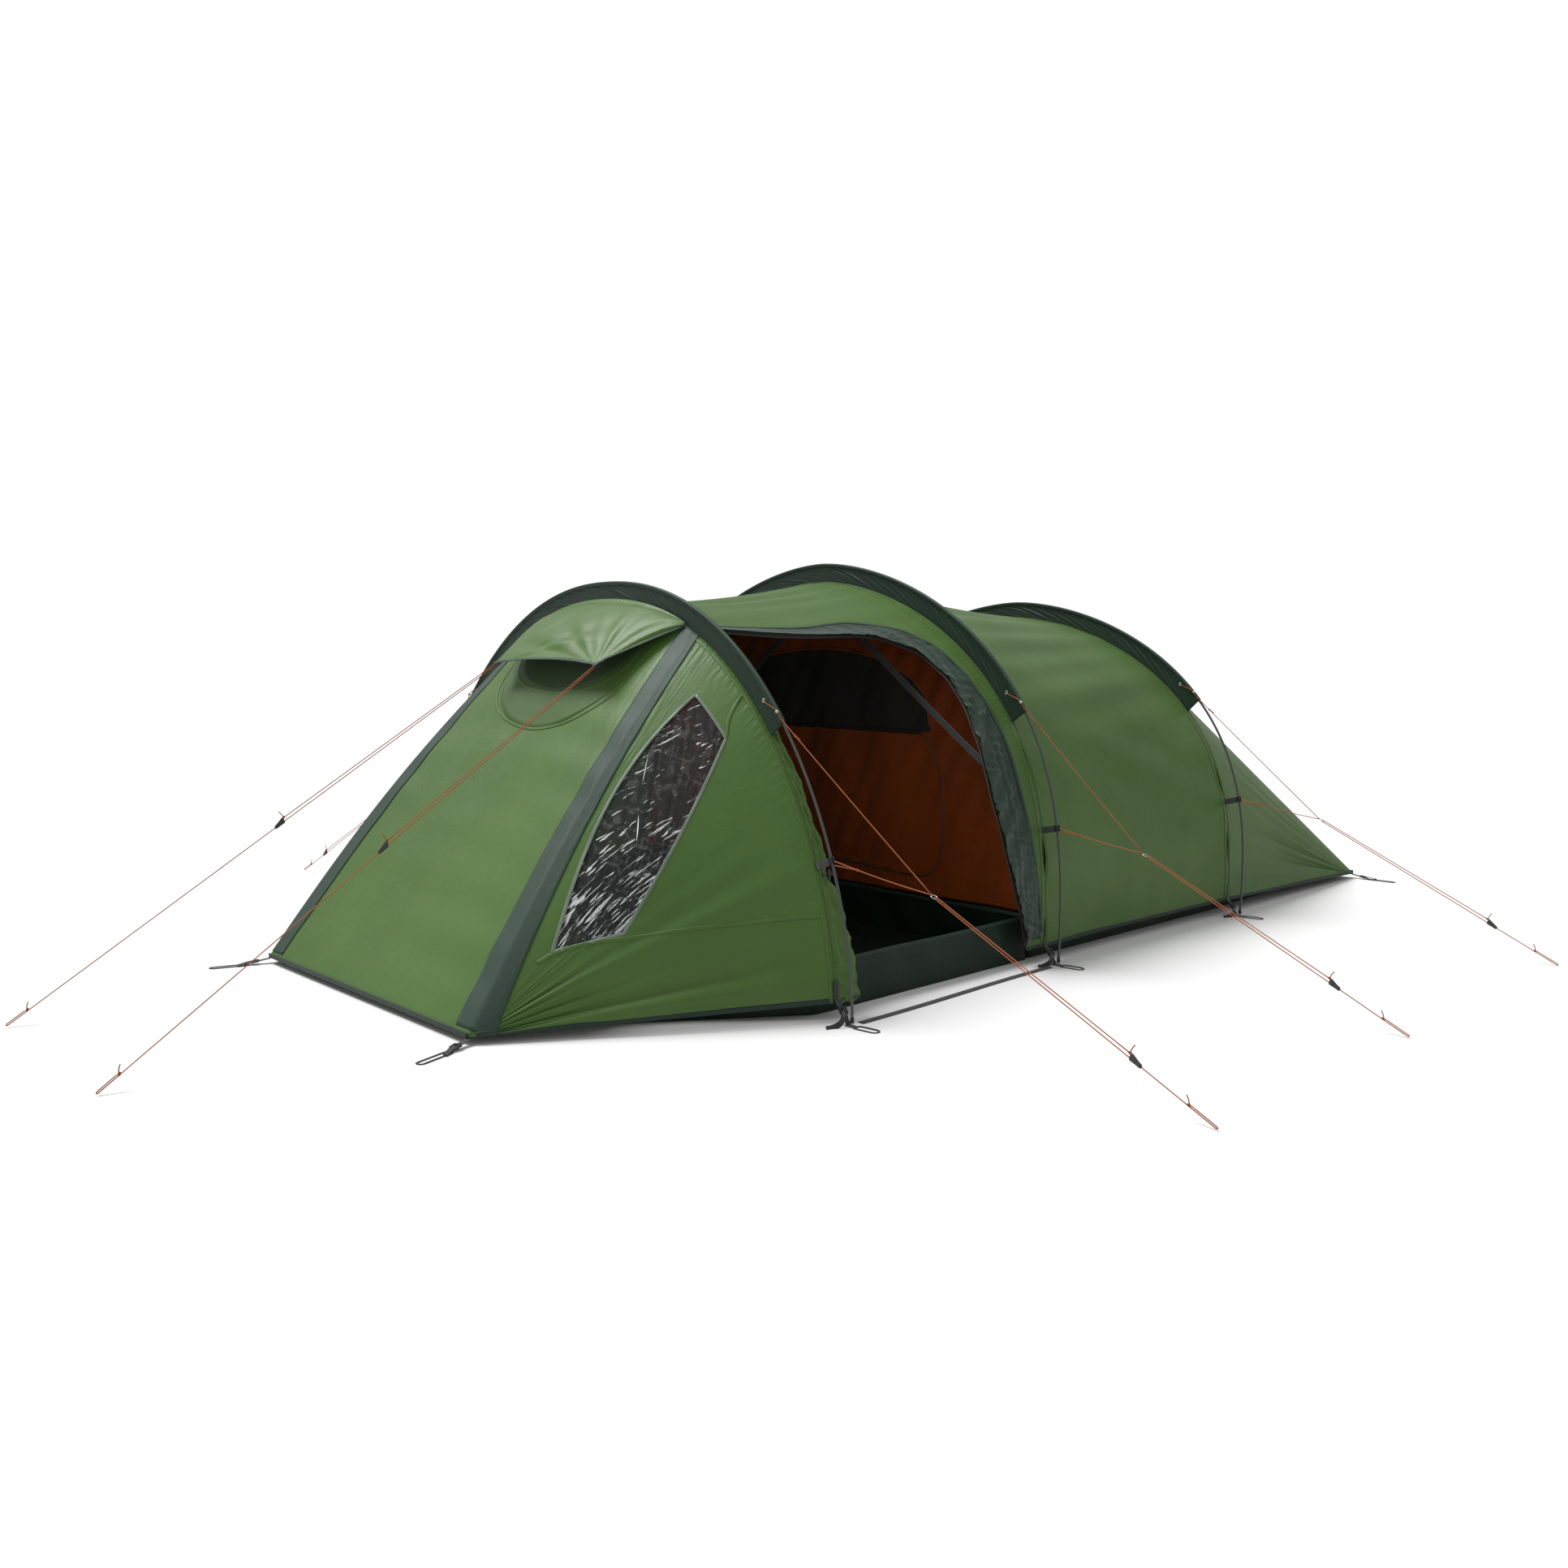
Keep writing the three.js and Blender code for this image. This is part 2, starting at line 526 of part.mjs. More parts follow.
// A corner of the fly is held down by a strap to a peg loop.
function addCorner(name, corner, outwards) {
  const away = outwards.clone().normalize();
  const start = corner.clone().addScaledVector(away, 4).setZ(corner.z - 6);
  const end = start.clone().addScaledVector(away, 74).setZ(1.5);
  const strap = end.clone().sub(start);
  addMesh(name, join([
    bar(start.clone().lerp(end, 0.5), strap, vec(0, 0, 1), [strap.length(), 20, WEBBING]),
    bar(start.clone().lerp(end, 0.55), strap, vec(0, 0, 1), [24, 26, 5]),
    pegLoop(end.clone().addScaledVector(away, -14), away, 120, 30, 7),
  ]), "webbing");
}

// A pole tab: webbing from the fly to a clip round the bare pole, where the lower leg of a guy bridle is tied.
function addTab(name, hoop, side) {
  const share = shareAtHeight(hoop, BRIDLE.tab);
  const { tangent, outward } = hoopFrame(hoop, share);
  const pole = hoopAt(hoop, share);
  const inward = outward.clone().negate();
  const reach = FIN - FLY / 2 - 1.5;
  const clipHalf = 11;
  const ends = [tangent.clone().multiplyScalar(-clipHalf), tangent.clone().multiplyScalar(clipHalf)];
  const clip = join([
    bar(pole.clone().addScaledVector(inward, reach / 2 + 2), inward, tangent, [reach - 4, WEBBING, 22]),
    tube(ends.map((e) => e.add(pole)), 9.5, 8),
  ]);
  const wide = [tangent.clone().multiplyScalar(-clipHalf * 2), tangent.clone().multiplyScalar(clipHalf * 2)];
  const bored = cut(clip, [tube(wide.map((e) => e.add(pole)), POLE_RADIUS + 2, 8)]);
  if (side < 0) bored.scale(-1, 1, 1), bored.index.array.reverse();
  addMesh(name, bored, "webbing");
}

const SIDES = [["door_side", 1], ["far_side", -1]];
for (const [hoopName, hoop] of Object.entries(HOOPS))
  for (const [sideName, side] of SIDES) {
    addFoot(`foot_${hoopName}_${sideName}`, hoop, side);
    addTab(`pole_tab_${hoopName}_${sideName}`, hoop, side);
  }
for (const [sideName, side] of SIDES) {
  const at = (p) => vec(side * p.x, p.y, p.z);
  addCorner("corner_loop_porch_" + sideName, at(PORCH_CORNER), vec(side * 0.33, -1, 0));
  addCorner("corner_loop_tail_" + sideName, at(TAIL_CORNER), vec(side, 0.06, 0));
}
const strapEnds = ["front", "middle"].map((n) => hoopAt(HOOPS[n], shareAtHeight(HOOPS[n], POLE_FOOT_Z)));
const strapRun = strapEnds[1].clone().sub(strapEnds[0]);
const strapMiddle = strapEnds[0].clone().lerp(strapEnds[1], 0.5).setZ(WEBBING / 2).add(vec(-6, 0, 0));
addMesh("ground_strap", bar(strapMiddle, strapRun.setZ(0), vec(0, 0, 1), [strapRun.length() - 82, 24, WEBBING]), "webbing");

// ---- Guy lines ----

const RING = { radius: 9, wire: 1.2 };
// A line runs from the runner up through the ring or loop at the top, down again through the runner, and on to an
// end loop for the peg. Both strands lie in the vertical plane of the line, the tied strand above.
function addGuy(name, top, anchor, runnerAt, knotAt) {
  const down = anchor.clone().sub(top).normalize();
  const across = vec(0, 0, 1).addScaledVector(down, -down.z).normalize();
  const strands = 6.4; // between the two strands at the ring, one on each side of its wire
  const at = (along, off) => top.clone().addScaledVector(down, along).addScaledVector(across, off - strands / 2);
  const total = anchor.distanceTo(top);
  const runnerStrands = 11;
  const loopWidth = 5;
  const lineRun = between(at(4, 0), at(knotAt + 10, 0), 12);
  const tied = between(at(runnerAt - 21, runnerStrands), at(4, strands), 8);
  const turn = [at(1, strands - 1), at(0, strands / 2), at(1, 1)];
  const endLoop = [at(total - 6, 0), at(total - 1, 1), at(total, loopWidth / 2), at(total - 1, loopWidth - 1),
    at(total - 6, loopWidth), at(knotAt + 10, loopWidth)];
  addMesh("guy_line_" + name, tube([...tied, ...turn, ...lineRun, ...endLoop], CORD_RADIUS), "cord");

  // The runner: a flat triangular slider with a hole that the line runs through.
  const [nose, shoulder, half] = [18, 17, 4];
  const outline = [[-nose, -5], [shoulder + 3, -4.5], [shoulder + 3, 4.5], [-nose, 15]].map(([x, y]) => new THREE.Vector2(x, y));
  const plate = new THREE.ExtrudeGeometry(new THREE.Shape(outline), { depth: 2 * half, bevelEnabled: false });
  const square = down.clone().cross(across);
  const basis = new THREE.Matrix4().makeBasis(down, across, square);
  plate.translate(0, 0, -half).applyMatrix4(basis.setPosition(at(runnerAt, 0)));
  const bore = tube([at(runnerAt - 40, 0), at(runnerAt + 40, 0)], CORD_RADIUS + 0.8, 8);
  addMesh("runner_" + name, cut(plate, [bore]), "plastic");
}

// A bridle: a ring held by one leg from the sleeve's eyelet and one from the pole tab.
function addBridle(name, hoop, side) {
  const place = ([x, z], forward = 0) => vec(side * x, hoop.footY + hoop.lean * z - forward, z);
  const tabPole = hoopAt(hoop, shareAtHeight(hoop, BRIDLE.tab));
  const sleeveEnd = hoopAt(hoop, shareAtHeight(hoop, SLEEVE_END_Z + 30));
  const ring = place(BRIDLE.ring);
  const eyeletX = sleeveEnd.x - 60;
  const upper = [place([eyeletX, SLEEVE_END_Z + 62], 5), place([eyeletX + 22, SLEEVE_END_Z + 54], 9.5),
    place([sleeveEnd.x + 4, SLEEVE_END_Z + 38], 12.5), place([sleeveEnd.x + 22, SLEEVE_END_Z + 14], 9)];
  const lower = place([tabPole.x + 11, BRIDLE.tab]);
  const anchor = place(BRIDLE.anchor);
  const down = anchor.clone().sub(ring).normalize();
  const eye = ring.clone().addScaledVector(down, -RING.radius);
  const ringTurn = new THREE.Matrix4().makeBasis(down, vec(0, 1, 0), down.clone().cross(vec(0, 1, 0))).setPosition(ring);
  const ringWire = new THREE.TorusGeometry(RING.radius, RING.wire, 5, 10).applyMatrix4(ringTurn);
  addMesh("bridle_" + name, join([
    tube([...upper, ...between(upper[3], eye, 6).slice(1)], CORD_RADIUS),
    tube(between(lower, eye, 5), CORD_RADIUS),
    ringWire,
  ]), "cord");
  const lineTop = ring.clone().addScaledVector(down, RING.radius - RING.wire - CORD_RADIUS - 4);
  addGuy(name, lineTop, anchor, SIDE_RUNNER, SIDE_KNOT);
}
addBridle("front_door_side", HOOPS.front, 1);
addBridle("front_far_side", HOOPS.front, -1);
addBridle("middle_door_side", HOOPS.middle, 1);
addBridle("rear_door_side", HOOPS.rear, 1);
for (const [sideName, side] of SIDES) {
  const tip = vec(side * HOOD_TIP.x, HOOD_TIP.y - 6, HOOD_TIP.z - 8);
  const anchor = vec(side * FRONT_ANCHOR.x, FRONT_ANCHOR.y, FRONT_ANCHOR.z);
  addGuy("hood_" + sideName, tip, anchor, FRONT_RUNNER, FRONT_KNOT);
}

export default tent;
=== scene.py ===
"""A three-hoop tunnel tent, pitched with its side door open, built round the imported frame.

Metres, +Z up. +Y runs from the porch to the tail, +X is the door side, and the ground is at Z = 0.
"""

from math import pi, radians

import bmesh
import bpy
import numpy as np
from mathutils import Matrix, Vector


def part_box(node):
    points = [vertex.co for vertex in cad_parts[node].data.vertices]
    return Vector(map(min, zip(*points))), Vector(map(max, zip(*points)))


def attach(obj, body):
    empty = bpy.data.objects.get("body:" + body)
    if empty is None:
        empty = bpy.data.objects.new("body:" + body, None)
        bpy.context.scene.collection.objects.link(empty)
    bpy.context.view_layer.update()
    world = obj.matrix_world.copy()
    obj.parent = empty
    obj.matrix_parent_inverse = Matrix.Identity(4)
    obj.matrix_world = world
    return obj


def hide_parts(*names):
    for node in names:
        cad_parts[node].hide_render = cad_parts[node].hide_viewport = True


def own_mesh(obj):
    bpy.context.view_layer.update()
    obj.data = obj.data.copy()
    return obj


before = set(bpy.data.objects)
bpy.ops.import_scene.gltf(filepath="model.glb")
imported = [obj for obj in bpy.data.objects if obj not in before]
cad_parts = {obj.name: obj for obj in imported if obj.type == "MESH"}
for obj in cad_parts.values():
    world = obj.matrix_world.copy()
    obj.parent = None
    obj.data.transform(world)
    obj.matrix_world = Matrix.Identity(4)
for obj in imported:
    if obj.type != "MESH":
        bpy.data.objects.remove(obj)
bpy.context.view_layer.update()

# ---- Camera ----
# It stands off the door side's front corner, a little above waist height, and looks slightly down at the door.

CAMERA_PLACE = (3.754, -3.816, 1.066)
CAMERA_HEADING = 46.71
CAMERA_DOWN = 6.05

view = bpy.data.objects.new("view", bpy.data.cameras.new("view"))
view.data.sensor_width = 36
view.data.lens = 31.21
view.location = CAMERA_PLACE
view.rotation_euler = (radians(90 - CAMERA_DOWN), 0, radians(CAMERA_HEADING))
bpy.context.collection.objects.link(view)
bpy.context.scene.camera = view

# ---- Guy lines ----
# Braided polyester cord, 3 mm thick. Each side line hangs on a small steel ring, and a bridle holds the ring: one leg
# to an eyelet in the sleeve's fin and one to the clip on the bare pole. Every line runs down to a runner, back up
# through its ring or hood tip, and on to a loop for the peg.

CORD = 0.003
HOOPS = {
    "front": {"half": 1.209, "top": 1.253, "n": 2.191, "m": 1.649, "foot": -1.160, "lean": 0.059},
    "middle": {"half": 1.180, "top": 1.350, "n": 1.758, "m": 2.73, "foot": -0.151, "lean": 0.056},
    "rear": {"half": 1.189, "top": 1.226, "n": 1.758, "m": 2.73, "foot": 1.027, "lean": 0.102},
}
SLEEVE_END = 0.826
TAB_HEIGHT = 0.450
RING_PLACE = (1.480, 0.400)
RING_RADIUS = 0.009
RING_WIRE = 0.0012
SIDE_ANCHOR = (2.315, 0.006)
SIDE_RUNNER = 0.686
SIDE_KNOT = 0.841
HOOD_TIP = np.array([0.287, -1.350, 0.990])
HOOD_ANCHOR = np.array([0.390, -2.868, 0.006])
HOOD_RUNNER = 0.886
HOOD_KNOT = 1.738


UP = np.array([0, 0, 1.0])


def unit(vectors):
    """Each vector divided by its length."""
    return vectors / np.maximum(np.linalg.norm(vectors, axis=-1, keepdims=True), 1e-12)


def mix(a, b, t):
    """The point a share t of the way from a to b."""
    return a + (b - a) * t


tables = {}


def hoop_table(name, inset):
    """A hoop's line, |x/half|^n + (z/top)^m = 1 in its leaning plane, with each point's share of the length."""
    if (name, inset) not in tables:
        hoop = HOOPS[name]
        angle = np.linspace(0, pi, 4001)
        side = np.cos(angle)
        x = (hoop["half"] - inset) * np.sign(side) * np.abs(side) ** (2 / hoop["n"])
        z = (hoop["top"] - inset) * np.abs(np.sin(angle)) ** (2 / hoop["m"])
        line = np.stack([x, hoop["foot"] + hoop["lean"] * z, z], axis=-1)
        along = np.concatenate([[0], np.cumsum(np.linalg.norm(np.diff(line, axis=0), axis=1))])
        tables[name, inset] = line, along / along[-1], along[-1]
    return tables[name, inset]


def hoop_at(name, share, inset=0.0):
    """Points at shares of a hoop's length, from 0 at the door side's foot to 1 at the far foot."""
    line, shares, _ = hoop_table(name, inset)
    return np.stack([np.interp(share, shares, line[:, k]) for k in range(3)], axis=-1)


def hoop_share(name, height, inset=0.0):
    """The share at which the door side of a hoop passes a height."""
    line, shares, _ = hoop_table(name, inset)
    half = len(line) // 2
    return float(np.interp(height, line[:half, 2], shares[:half]))


def hoop_square(name):
    """The direction along the tent that is square to a hoop's plane."""
    return unit(np.array([0.0, 1.0, -HOOPS[name]["lean"]]))


def hoop_outward(name, share):
    """The direction outwards in a hoop's plane."""
    step = 1e-3
    along = hoop_at(name, np.minimum(1, share + step)) - hoop_at(name, np.maximum(0, share - step))
    return unit(np.cross(hoop_square(name), unit(along)))


def on_hoop(name, side, x, z, forward=0.0):
    """A point in a hoop's plane, or a little in front of it."""
    hoop = HOOPS[name]
    return np.array([side * x, hoop["foot"] + hoop["lean"] * z - forward, z])


def surface(name, points, wrap=False, cap=False):
    """A mesh of quads on a grid of points, with a UV map in metres along the rows and the columns.

    wrap joins the last column to the first, and cap closes the first and the last row with one face each.
    """
    rows, columns = points.shape[:2]
    reach = columns if wrap else columns - 1
    i, j = np.meshgrid(np.arange(rows - 1), np.arange(reach), indexing="ij")
    i, j = i.ravel(), j.ravel()
    k = (j + 1) % columns
    quads = np.stack([i * columns + j, i * columns + k, (i + 1) * columns + k, (i + 1) * columns + j], axis=1)
    faces = quads.tolist()
    down = np.linalg.norm(np.diff(points, axis=0), axis=-1).sum(0).mean()
    across = np.linalg.norm(np.diff(points, axis=1), axis=-1).sum(1).mean() * (reach / (columns - 1))
    u = np.stack([i, i, i + 1, i + 1], axis=1) / (rows - 1) * down
    v = np.stack([j, j + 1, j + 1, j], axis=1) / reach * across
    uv = np.stack([u, v], axis=-1).reshape(-1, 2)
    if cap:
        faces += [list(range(columns))[::-1], list(range((rows - 1) * columns, rows * columns))]
        uv = np.concatenate([uv, np.zeros((2 * columns, 2))])
    mesh = bpy.data.meshes.new(name)
    mesh.from_pydata(points.reshape(-1, 3).tolist(), [], faces)
    mesh.uv_layers.new(name="UVMap").data.foreach_set("uv", uv.ravel().astype(np.float32))
    mesh.polygons.foreach_set("use_smooth", np.ones(len(faces), bool))
    piece = bpy.data.objects.new(name, mesh)
    bpy.context.collection.objects.link(piece)
    return piece


def outward(piece):
    """Turns a closed piece's faces outwards."""
    shape = bmesh.new()
    shape.from_mesh(piece.data)
    bmesh.ops.recalc_face_normals(shape, faces=shape.faces)
    shape.to_mesh(piece.data)
    shape.free()
    return piece


def finish(piece, material, body="tent", node=None):
    """Gives a piece its material, its body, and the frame's nodes that it stands for."""
    piece.data.materials.clear()
    piece.data.materials.append(material)
    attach(piece, body)
    if node:
        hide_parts(*([node] if isinstance(node, str) else node))
    return piece


def frames(path, across):
    """Two directions square to a path at each of its points, the first of them square to across too."""
    heading = unit(np.gradient(path, axis=0))
    first = unit(np.cross(np.broadcast_to(across, path.shape), heading))
    return first, np.cross(heading, first)


def sweep(name, path, profile, across=(0, 0, 1), cap=True):
    """A closed tube: a profile of (first, second) offsets, one or one for each point, carried along a path."""
    first, second = frames(path, np.array(across, float))
    profile = np.asarray(profile, float)
    if profile.ndim == 2:
        profile = np.broadcast_to(profile, (len(path), *profile.shape))
    points = path[:, None] + profile[..., :1] * first[:, None] + profile[..., 1:] * second[:, None]
    piece = surface(name, points, True, cap)
    return outward(piece) if cap else piece


def rod(name, path, profile, material, across=(0, 0, 1), body="tent", node=None):
    """A swept piece with its material and its body, hiding any frame nodes that it stands for."""
    return finish(sweep(name, np.asarray(path, float), profile, across), material, body, node)


def round_profile(radius, sides):
    """The corners of a circle."""
    angle = np.linspace(0, 2 * pi, sides, endpoint=False)
    return np.stack([radius * np.cos(angle), radius * np.sin(angle)], axis=-1)


def rounded(values, power):
    """A wave with its crests flattened by a power below 1, which squares the corners of an ellipse."""
    return np.sign(values) * np.abs(values) ** power


def flat_profile(width, thickness):
    """A flat bar's section with rounded edges: (cos^0.25, sin^0.6) in place of an ellipse's (cos, sin)."""
    angle = np.linspace(0, 2 * pi, 24, endpoint=False)
    return np.stack([width / 2 * rounded(np.cos(angle), 0.25), thickness / 2 * rounded(np.sin(angle), 0.6)], axis=-1)


def taut(start, end, steps, sag=0.0):
    """Points on a taut cord between two points, with a parabola's sag."""
    t = np.linspace(0, 1, steps + 1)[:, None]
    return mix(start, end, t) - np.array([0, 0, sag]) * 4 * t * (1 - t)


def smooth(points, count):
    """A centripetal spline through a few points, resampled to even steps."""
    points = np.asarray(points, float)
    padded = np.concatenate([[2 * points[0] - points[1]], points, [2 * points[-1] - points[-2]]])
    knots = np.concatenate([[0], np.cumsum(np.linalg.norm(np.diff(padded, axis=0), axis=1) ** 0.5)])
    t = np.linspace(knots[1], knots[-2], 16 * len(points))
    k = np.clip(np.searchsorted(knots, t, side="right") - 1, 1, len(points) - 1)

    def blend(a, b, i, j):
        share = ((t - knots[i]) / (knots[j] - knots[i]))[:, None]
        return a * (1 - share) + b * share

    ends = [padded[k - 1], padded[k], padded[k + 1], padded[k + 2]]
    low = [blend(ends[n], ends[n + 1], k - 1 + n, k + n) for n in range(3)]
    middle = [blend(low[0], low[1], k - 1, k + 1), blend(low[1], low[2], k, k + 2)]
    line = blend(middle[0], middle[1], k, k + 1)
    along = np.concatenate([[0], np.cumsum(np.linalg.norm(np.diff(line, axis=0), axis=1))])
    at = np.linspace(0, along[-1], count)
    return np.stack([np.interp(at, along, line[:, n]) for n in range(points.shape[1])], axis=-1)


def shader(name, colour, roughness, **sockets):
    """A new material with a Principled shader, and the node tree's own small helpers."""
    material = bpy.data.materials.new(name)
    material.use_nodes = True
    bsdf = material.node_tree.nodes["Principled BSDF"]
    bsdf.inputs["Base Color"].default_value = (*colour, 1)
    bsdf.inputs["Roughness"].default_value = roughness
    for socket, value in sockets.items():
        bsdf.inputs[socket.replace("_", " ")].default_value = value
    return material, material.node_tree, bsdf


def put(tree, kind, settings=None, **inputs):
    """A node with its settings and its inputs, each a value or another node's output."""
    node = tree.nodes.new(kind)
    for key, value in (settings or {}).items():
        setattr(node, key, value)
    for key, value in inputs.items():
        socket = node.inputs[int(key[1:])] if key[1:].isdigit() else node.inputs[key.replace("_", " ")]
        if isinstance(value, bpy.types.NodeSocket):
            tree.links.new(value, socket)
        else:
            socket.default_value = value
    return node


def sums(tree, operation, a, b=0.0, c=0.0):
    """A Math node's result."""
    return put(tree, "ShaderNodeMath", {"operation": operation}, i0=a, i1=b, i2=c).outputs[0]


def tinted(tree, factor, first, second):
    """A mix of two colours."""
    node = put(tree, "ShaderNodeMix", {"data_type": "RGBA"}, Factor=factor, i6=(*first, 1), i7=(*second, 1))
    return node.outputs[2]


def group(name, inputs, outputs):
    """An empty shader node group with named float or vector sockets."""
    tree = bpy.data.node_groups.new(name, "ShaderNodeTree")
    for socket, value in inputs.items():
        kind = "NodeSocketVector" if value is None else "NodeSocketFloat"
        made = tree.interface.new_socket(socket, in_out="INPUT", socket_type=kind)
        if value is not None:
            made.default_value = value
    for socket in outputs:
        tree.interface.new_socket(socket, in_out="OUTPUT", socket_type="NodeSocketFloat")
    return tree, tree.nodes.new("NodeGroupInput").outputs, tree.nodes.new("NodeGroupOutput").inputs


# The braid of a cord: two sets of strands that wind round it in opposite ways, on UVs of metres along and around.
braid, told, made = group("braid", {"UV": None, "Strands": 4.0, "Pitch": 0.006, "Around": 0.0094}, ["Height", "Over"])
place = put(braid, "ShaderNodeSeparateXYZ", i0=told["UV"]).outputs
along = sums(braid, "DIVIDE", place[0], told["Pitch"])
around = sums(braid, "MULTIPLY", sums(braid, "DIVIDE", place[1], told["Around"]), told["Strands"])
turns = [sums(braid, "SINE", sums(braid, "MULTIPLY", sums(braid, way, along, around), 2 * pi))
         for way in ("ADD", "SUBTRACT")]
braid.links.new(sums(braid, "MULTIPLY", turns[0], turns[1]), made["Height"])
braid.links.new(sums(braid, "GREATER_THAN", turns[0], turns[1]), made["Over"])


def braided(name, colour, fleck, pitch, around):
    """Braided cord: a colour that darkens towards the fleck colour where the braid's height is low, a painted shade
    between the strands.
    """
    material, tree, bsdf = shader(name, colour, 0.6, Sheen_Weight=0.08, Sheen_Roughness=0.4)
    uv = put(tree, "ShaderNodeTexCoord").outputs["UV"]
    weave = put(tree, "ShaderNodeGroup", {"node_tree": braid}, UV=uv, Pitch=pitch, Around=around)
    # Painted shade: the lower the braid's height, the nearer the colour is to the dark fleck colour.
    share = sums(tree, "MULTIPLY_ADD", weave.outputs["Height"], 0.35, 0.4)
    tree.links.new(tinted(tree, share, fleck, colour), bsdf.inputs["Base Color"])
    bump = put(tree, "ShaderNodeBump", Distance=0.0003, Strength=0.8, Height=weave.outputs["Height"])
    tree.links.new(bump.outputs[0], bsdf.inputs["Normal"])
    return material


# The second colour is the painted shade in the braid's grooves.
cord_material = braided("cord_orange", (0.58, 0.155, 0.035), (0.34, 0.080, 0.018), 0.004, 2 * pi * CORD / 2)
ring_material, _, _ = shader("ring_steel", (0.62, 0.62, 0.60), 0.25, Metallic=1.0)


def cord(name, path, node, body="tent"):
    """One free cord: a braided tube along its path."""
    piece = rod(name, path, round_profile(CORD / 2, 10), cord_material, (0.02, 0.05, 1), body, node)
    return piece


KNOT_SIZE = 0.0013


def knot(name, centre, heading, body="tent"):
    """A small overhand knot: a trefoil's path, x = sin t + 2 sin 2t, y = cos t - 2 cos 2t, z = -sin 3t."""
    t = np.linspace(0, 2 * pi, 60)
    trefoil = np.stack([np.sin(t) + 2 * np.sin(2 * t), np.cos(t) - 2 * np.cos(2 * t), -1.6 * np.sin(3 * t)], axis=-1)
    heading = unit(np.asarray(heading, float))
    side = unit(np.cross(heading, (0.3, 0.2, 1)))
    axes = np.stack([heading * 1.25, side, np.cross(heading, side)])
    path = centre + KNOT_SIZE * trefoil @ axes
    return rod(name, path, round_profile(0.00135, 8), cord_material, heading + 0.37, body)


def tail(name, start, heading, bend, length, body="tent"):
    """A short bare end of cord that stands off a knot."""
    t = np.linspace(0, 1, 12)[:, None]
    path = start + length * (t * unit(np.asarray(heading, float)) + t**2 * np.asarray(bend, float))
    return rod(name, path, round_profile(CORD / 2, 8), cord_material, (0.3, 0.1, 0.9), body)


# The runner is a flat moulded wedge, wide towards the tent and narrow towards the peg, with a raised rim.
runner_material, tree, bsdf = shader("runner_plastic", (0.045, 0.046, 0.048), 0.42)
place = put(tree, "ShaderNodeTexCoord").outputs["Object"]
speck = put(tree, "ShaderNodeTexNoise", Vector=place, Scale=900.0, Detail=2.0)
bump = put(tree, "ShaderNodeBump", Distance=0.0002, Strength=0.4, Height=speck.outputs[0])
tree.links.new(bump.outputs[0], bsdf.inputs["Normal"])


def runner(name, centre, down, across, body):
    """A wedge of rounded sections along the line: 20 mm wide at the tent's end and 9 mm at the nose."""
    t = np.linspace(0, 1, 25)
    path = centre + np.linspace(-0.018, 0.019, 25)[:, None] * down
    ends = np.clip(np.minimum(t, 1 - t) / 0.08, 0.25, 1) ** 0.5
    half = mix(0.0100, 0.0045, t**0.8) * ends
    waist = 1 - 0.18 * np.exp(-(((t - 0.55) / 0.12) ** 2))
    thick = mix(0.0042, 0.0034, t) * ends * waist
    offset = mix(0.0050, 0.0, t)
    angle = np.linspace(0, 2 * pi, 24, endpoint=False)
    profile = np.stack([thick[:, None] * rounded(np.cos(angle), 0.5),
                        offset[:, None] + half[:, None] * rounded(np.sin(angle), 0.5)], axis=-1)
    points = path[:, None] + profile[..., :1] * np.cross(down, across) + profile[..., 1:] * across
    piece = outward(surface(name, points, wrap=True, cap=True))
    return finish(piece, runner_material, body, name.replace("_wedge", ""))


def guy(name, top, anchor, runner_at, knot_at):
    """One guy line: the line to its peg loop, the strand that is tied to the runner, the runner and the knots."""
    down = unit(anchor - top)
    across = unit(np.array([0, 0, 1.0]) - down * down[2])
    total = np.linalg.norm(anchor - top)
    body = f"runner_{name}"
    node = f"guy_line_{name}"

    def at(along, off):
        return top + down * along + across * (off - 0.0032)

    loop = [at(total - 0.006, 0.0002), at(total - 0.002, 0.0008), at(total, 0.0026), at(total - 0.002, 0.0044),
            at(total - 0.006, 0.0050)]
    back = taut(loop[-1], at(knot_at + 0.006, 0.0050), 4)[1:]
    line = np.concatenate([taut(at(0.002, 0.0006), loop[0], 26), loop[1:], back])
    tied_at = runner_at - 0.022
    tied = np.concatenate([[at(0.0, 0.0032), at(0.002, 0.0058)], taut(at(0.006, 0.0064), at(tied_at, 0.011), 14)])
    end_knot = knot(f"{node}_end_knot", at(knot_at, 0.0025), down)
    end_tail = tail(f"{node}_end_tail", at(knot_at, 0.0035), across - 0.4 * down, -0.5 * down, 0.018)
    runner(f"{body}_wedge", at(runner_at, 0.0), down, across, body)
    knot_place = at(runner_at - 0.021, 0.0115)
    tied_knot = knot(f"{node}_tied_knot", knot_place, down, body)
    tied_tail = tail(f"{node}_tied_tail", knot_place + 0.0005 * across, across - 0.15 * down, 0.25 * down, 0.024, body)
    cord(f"{node}_line", line, node)
    strand = cord(f"{node}_strand", tied, node)
    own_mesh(strand)


BEAD_HALF = 0.005
BEAD_RADIUS = 0.0052
bead_material, _, _ = shader("bead_cream", (0.62, 0.56, 0.40), 0.35, Coat_Weight=0.3)


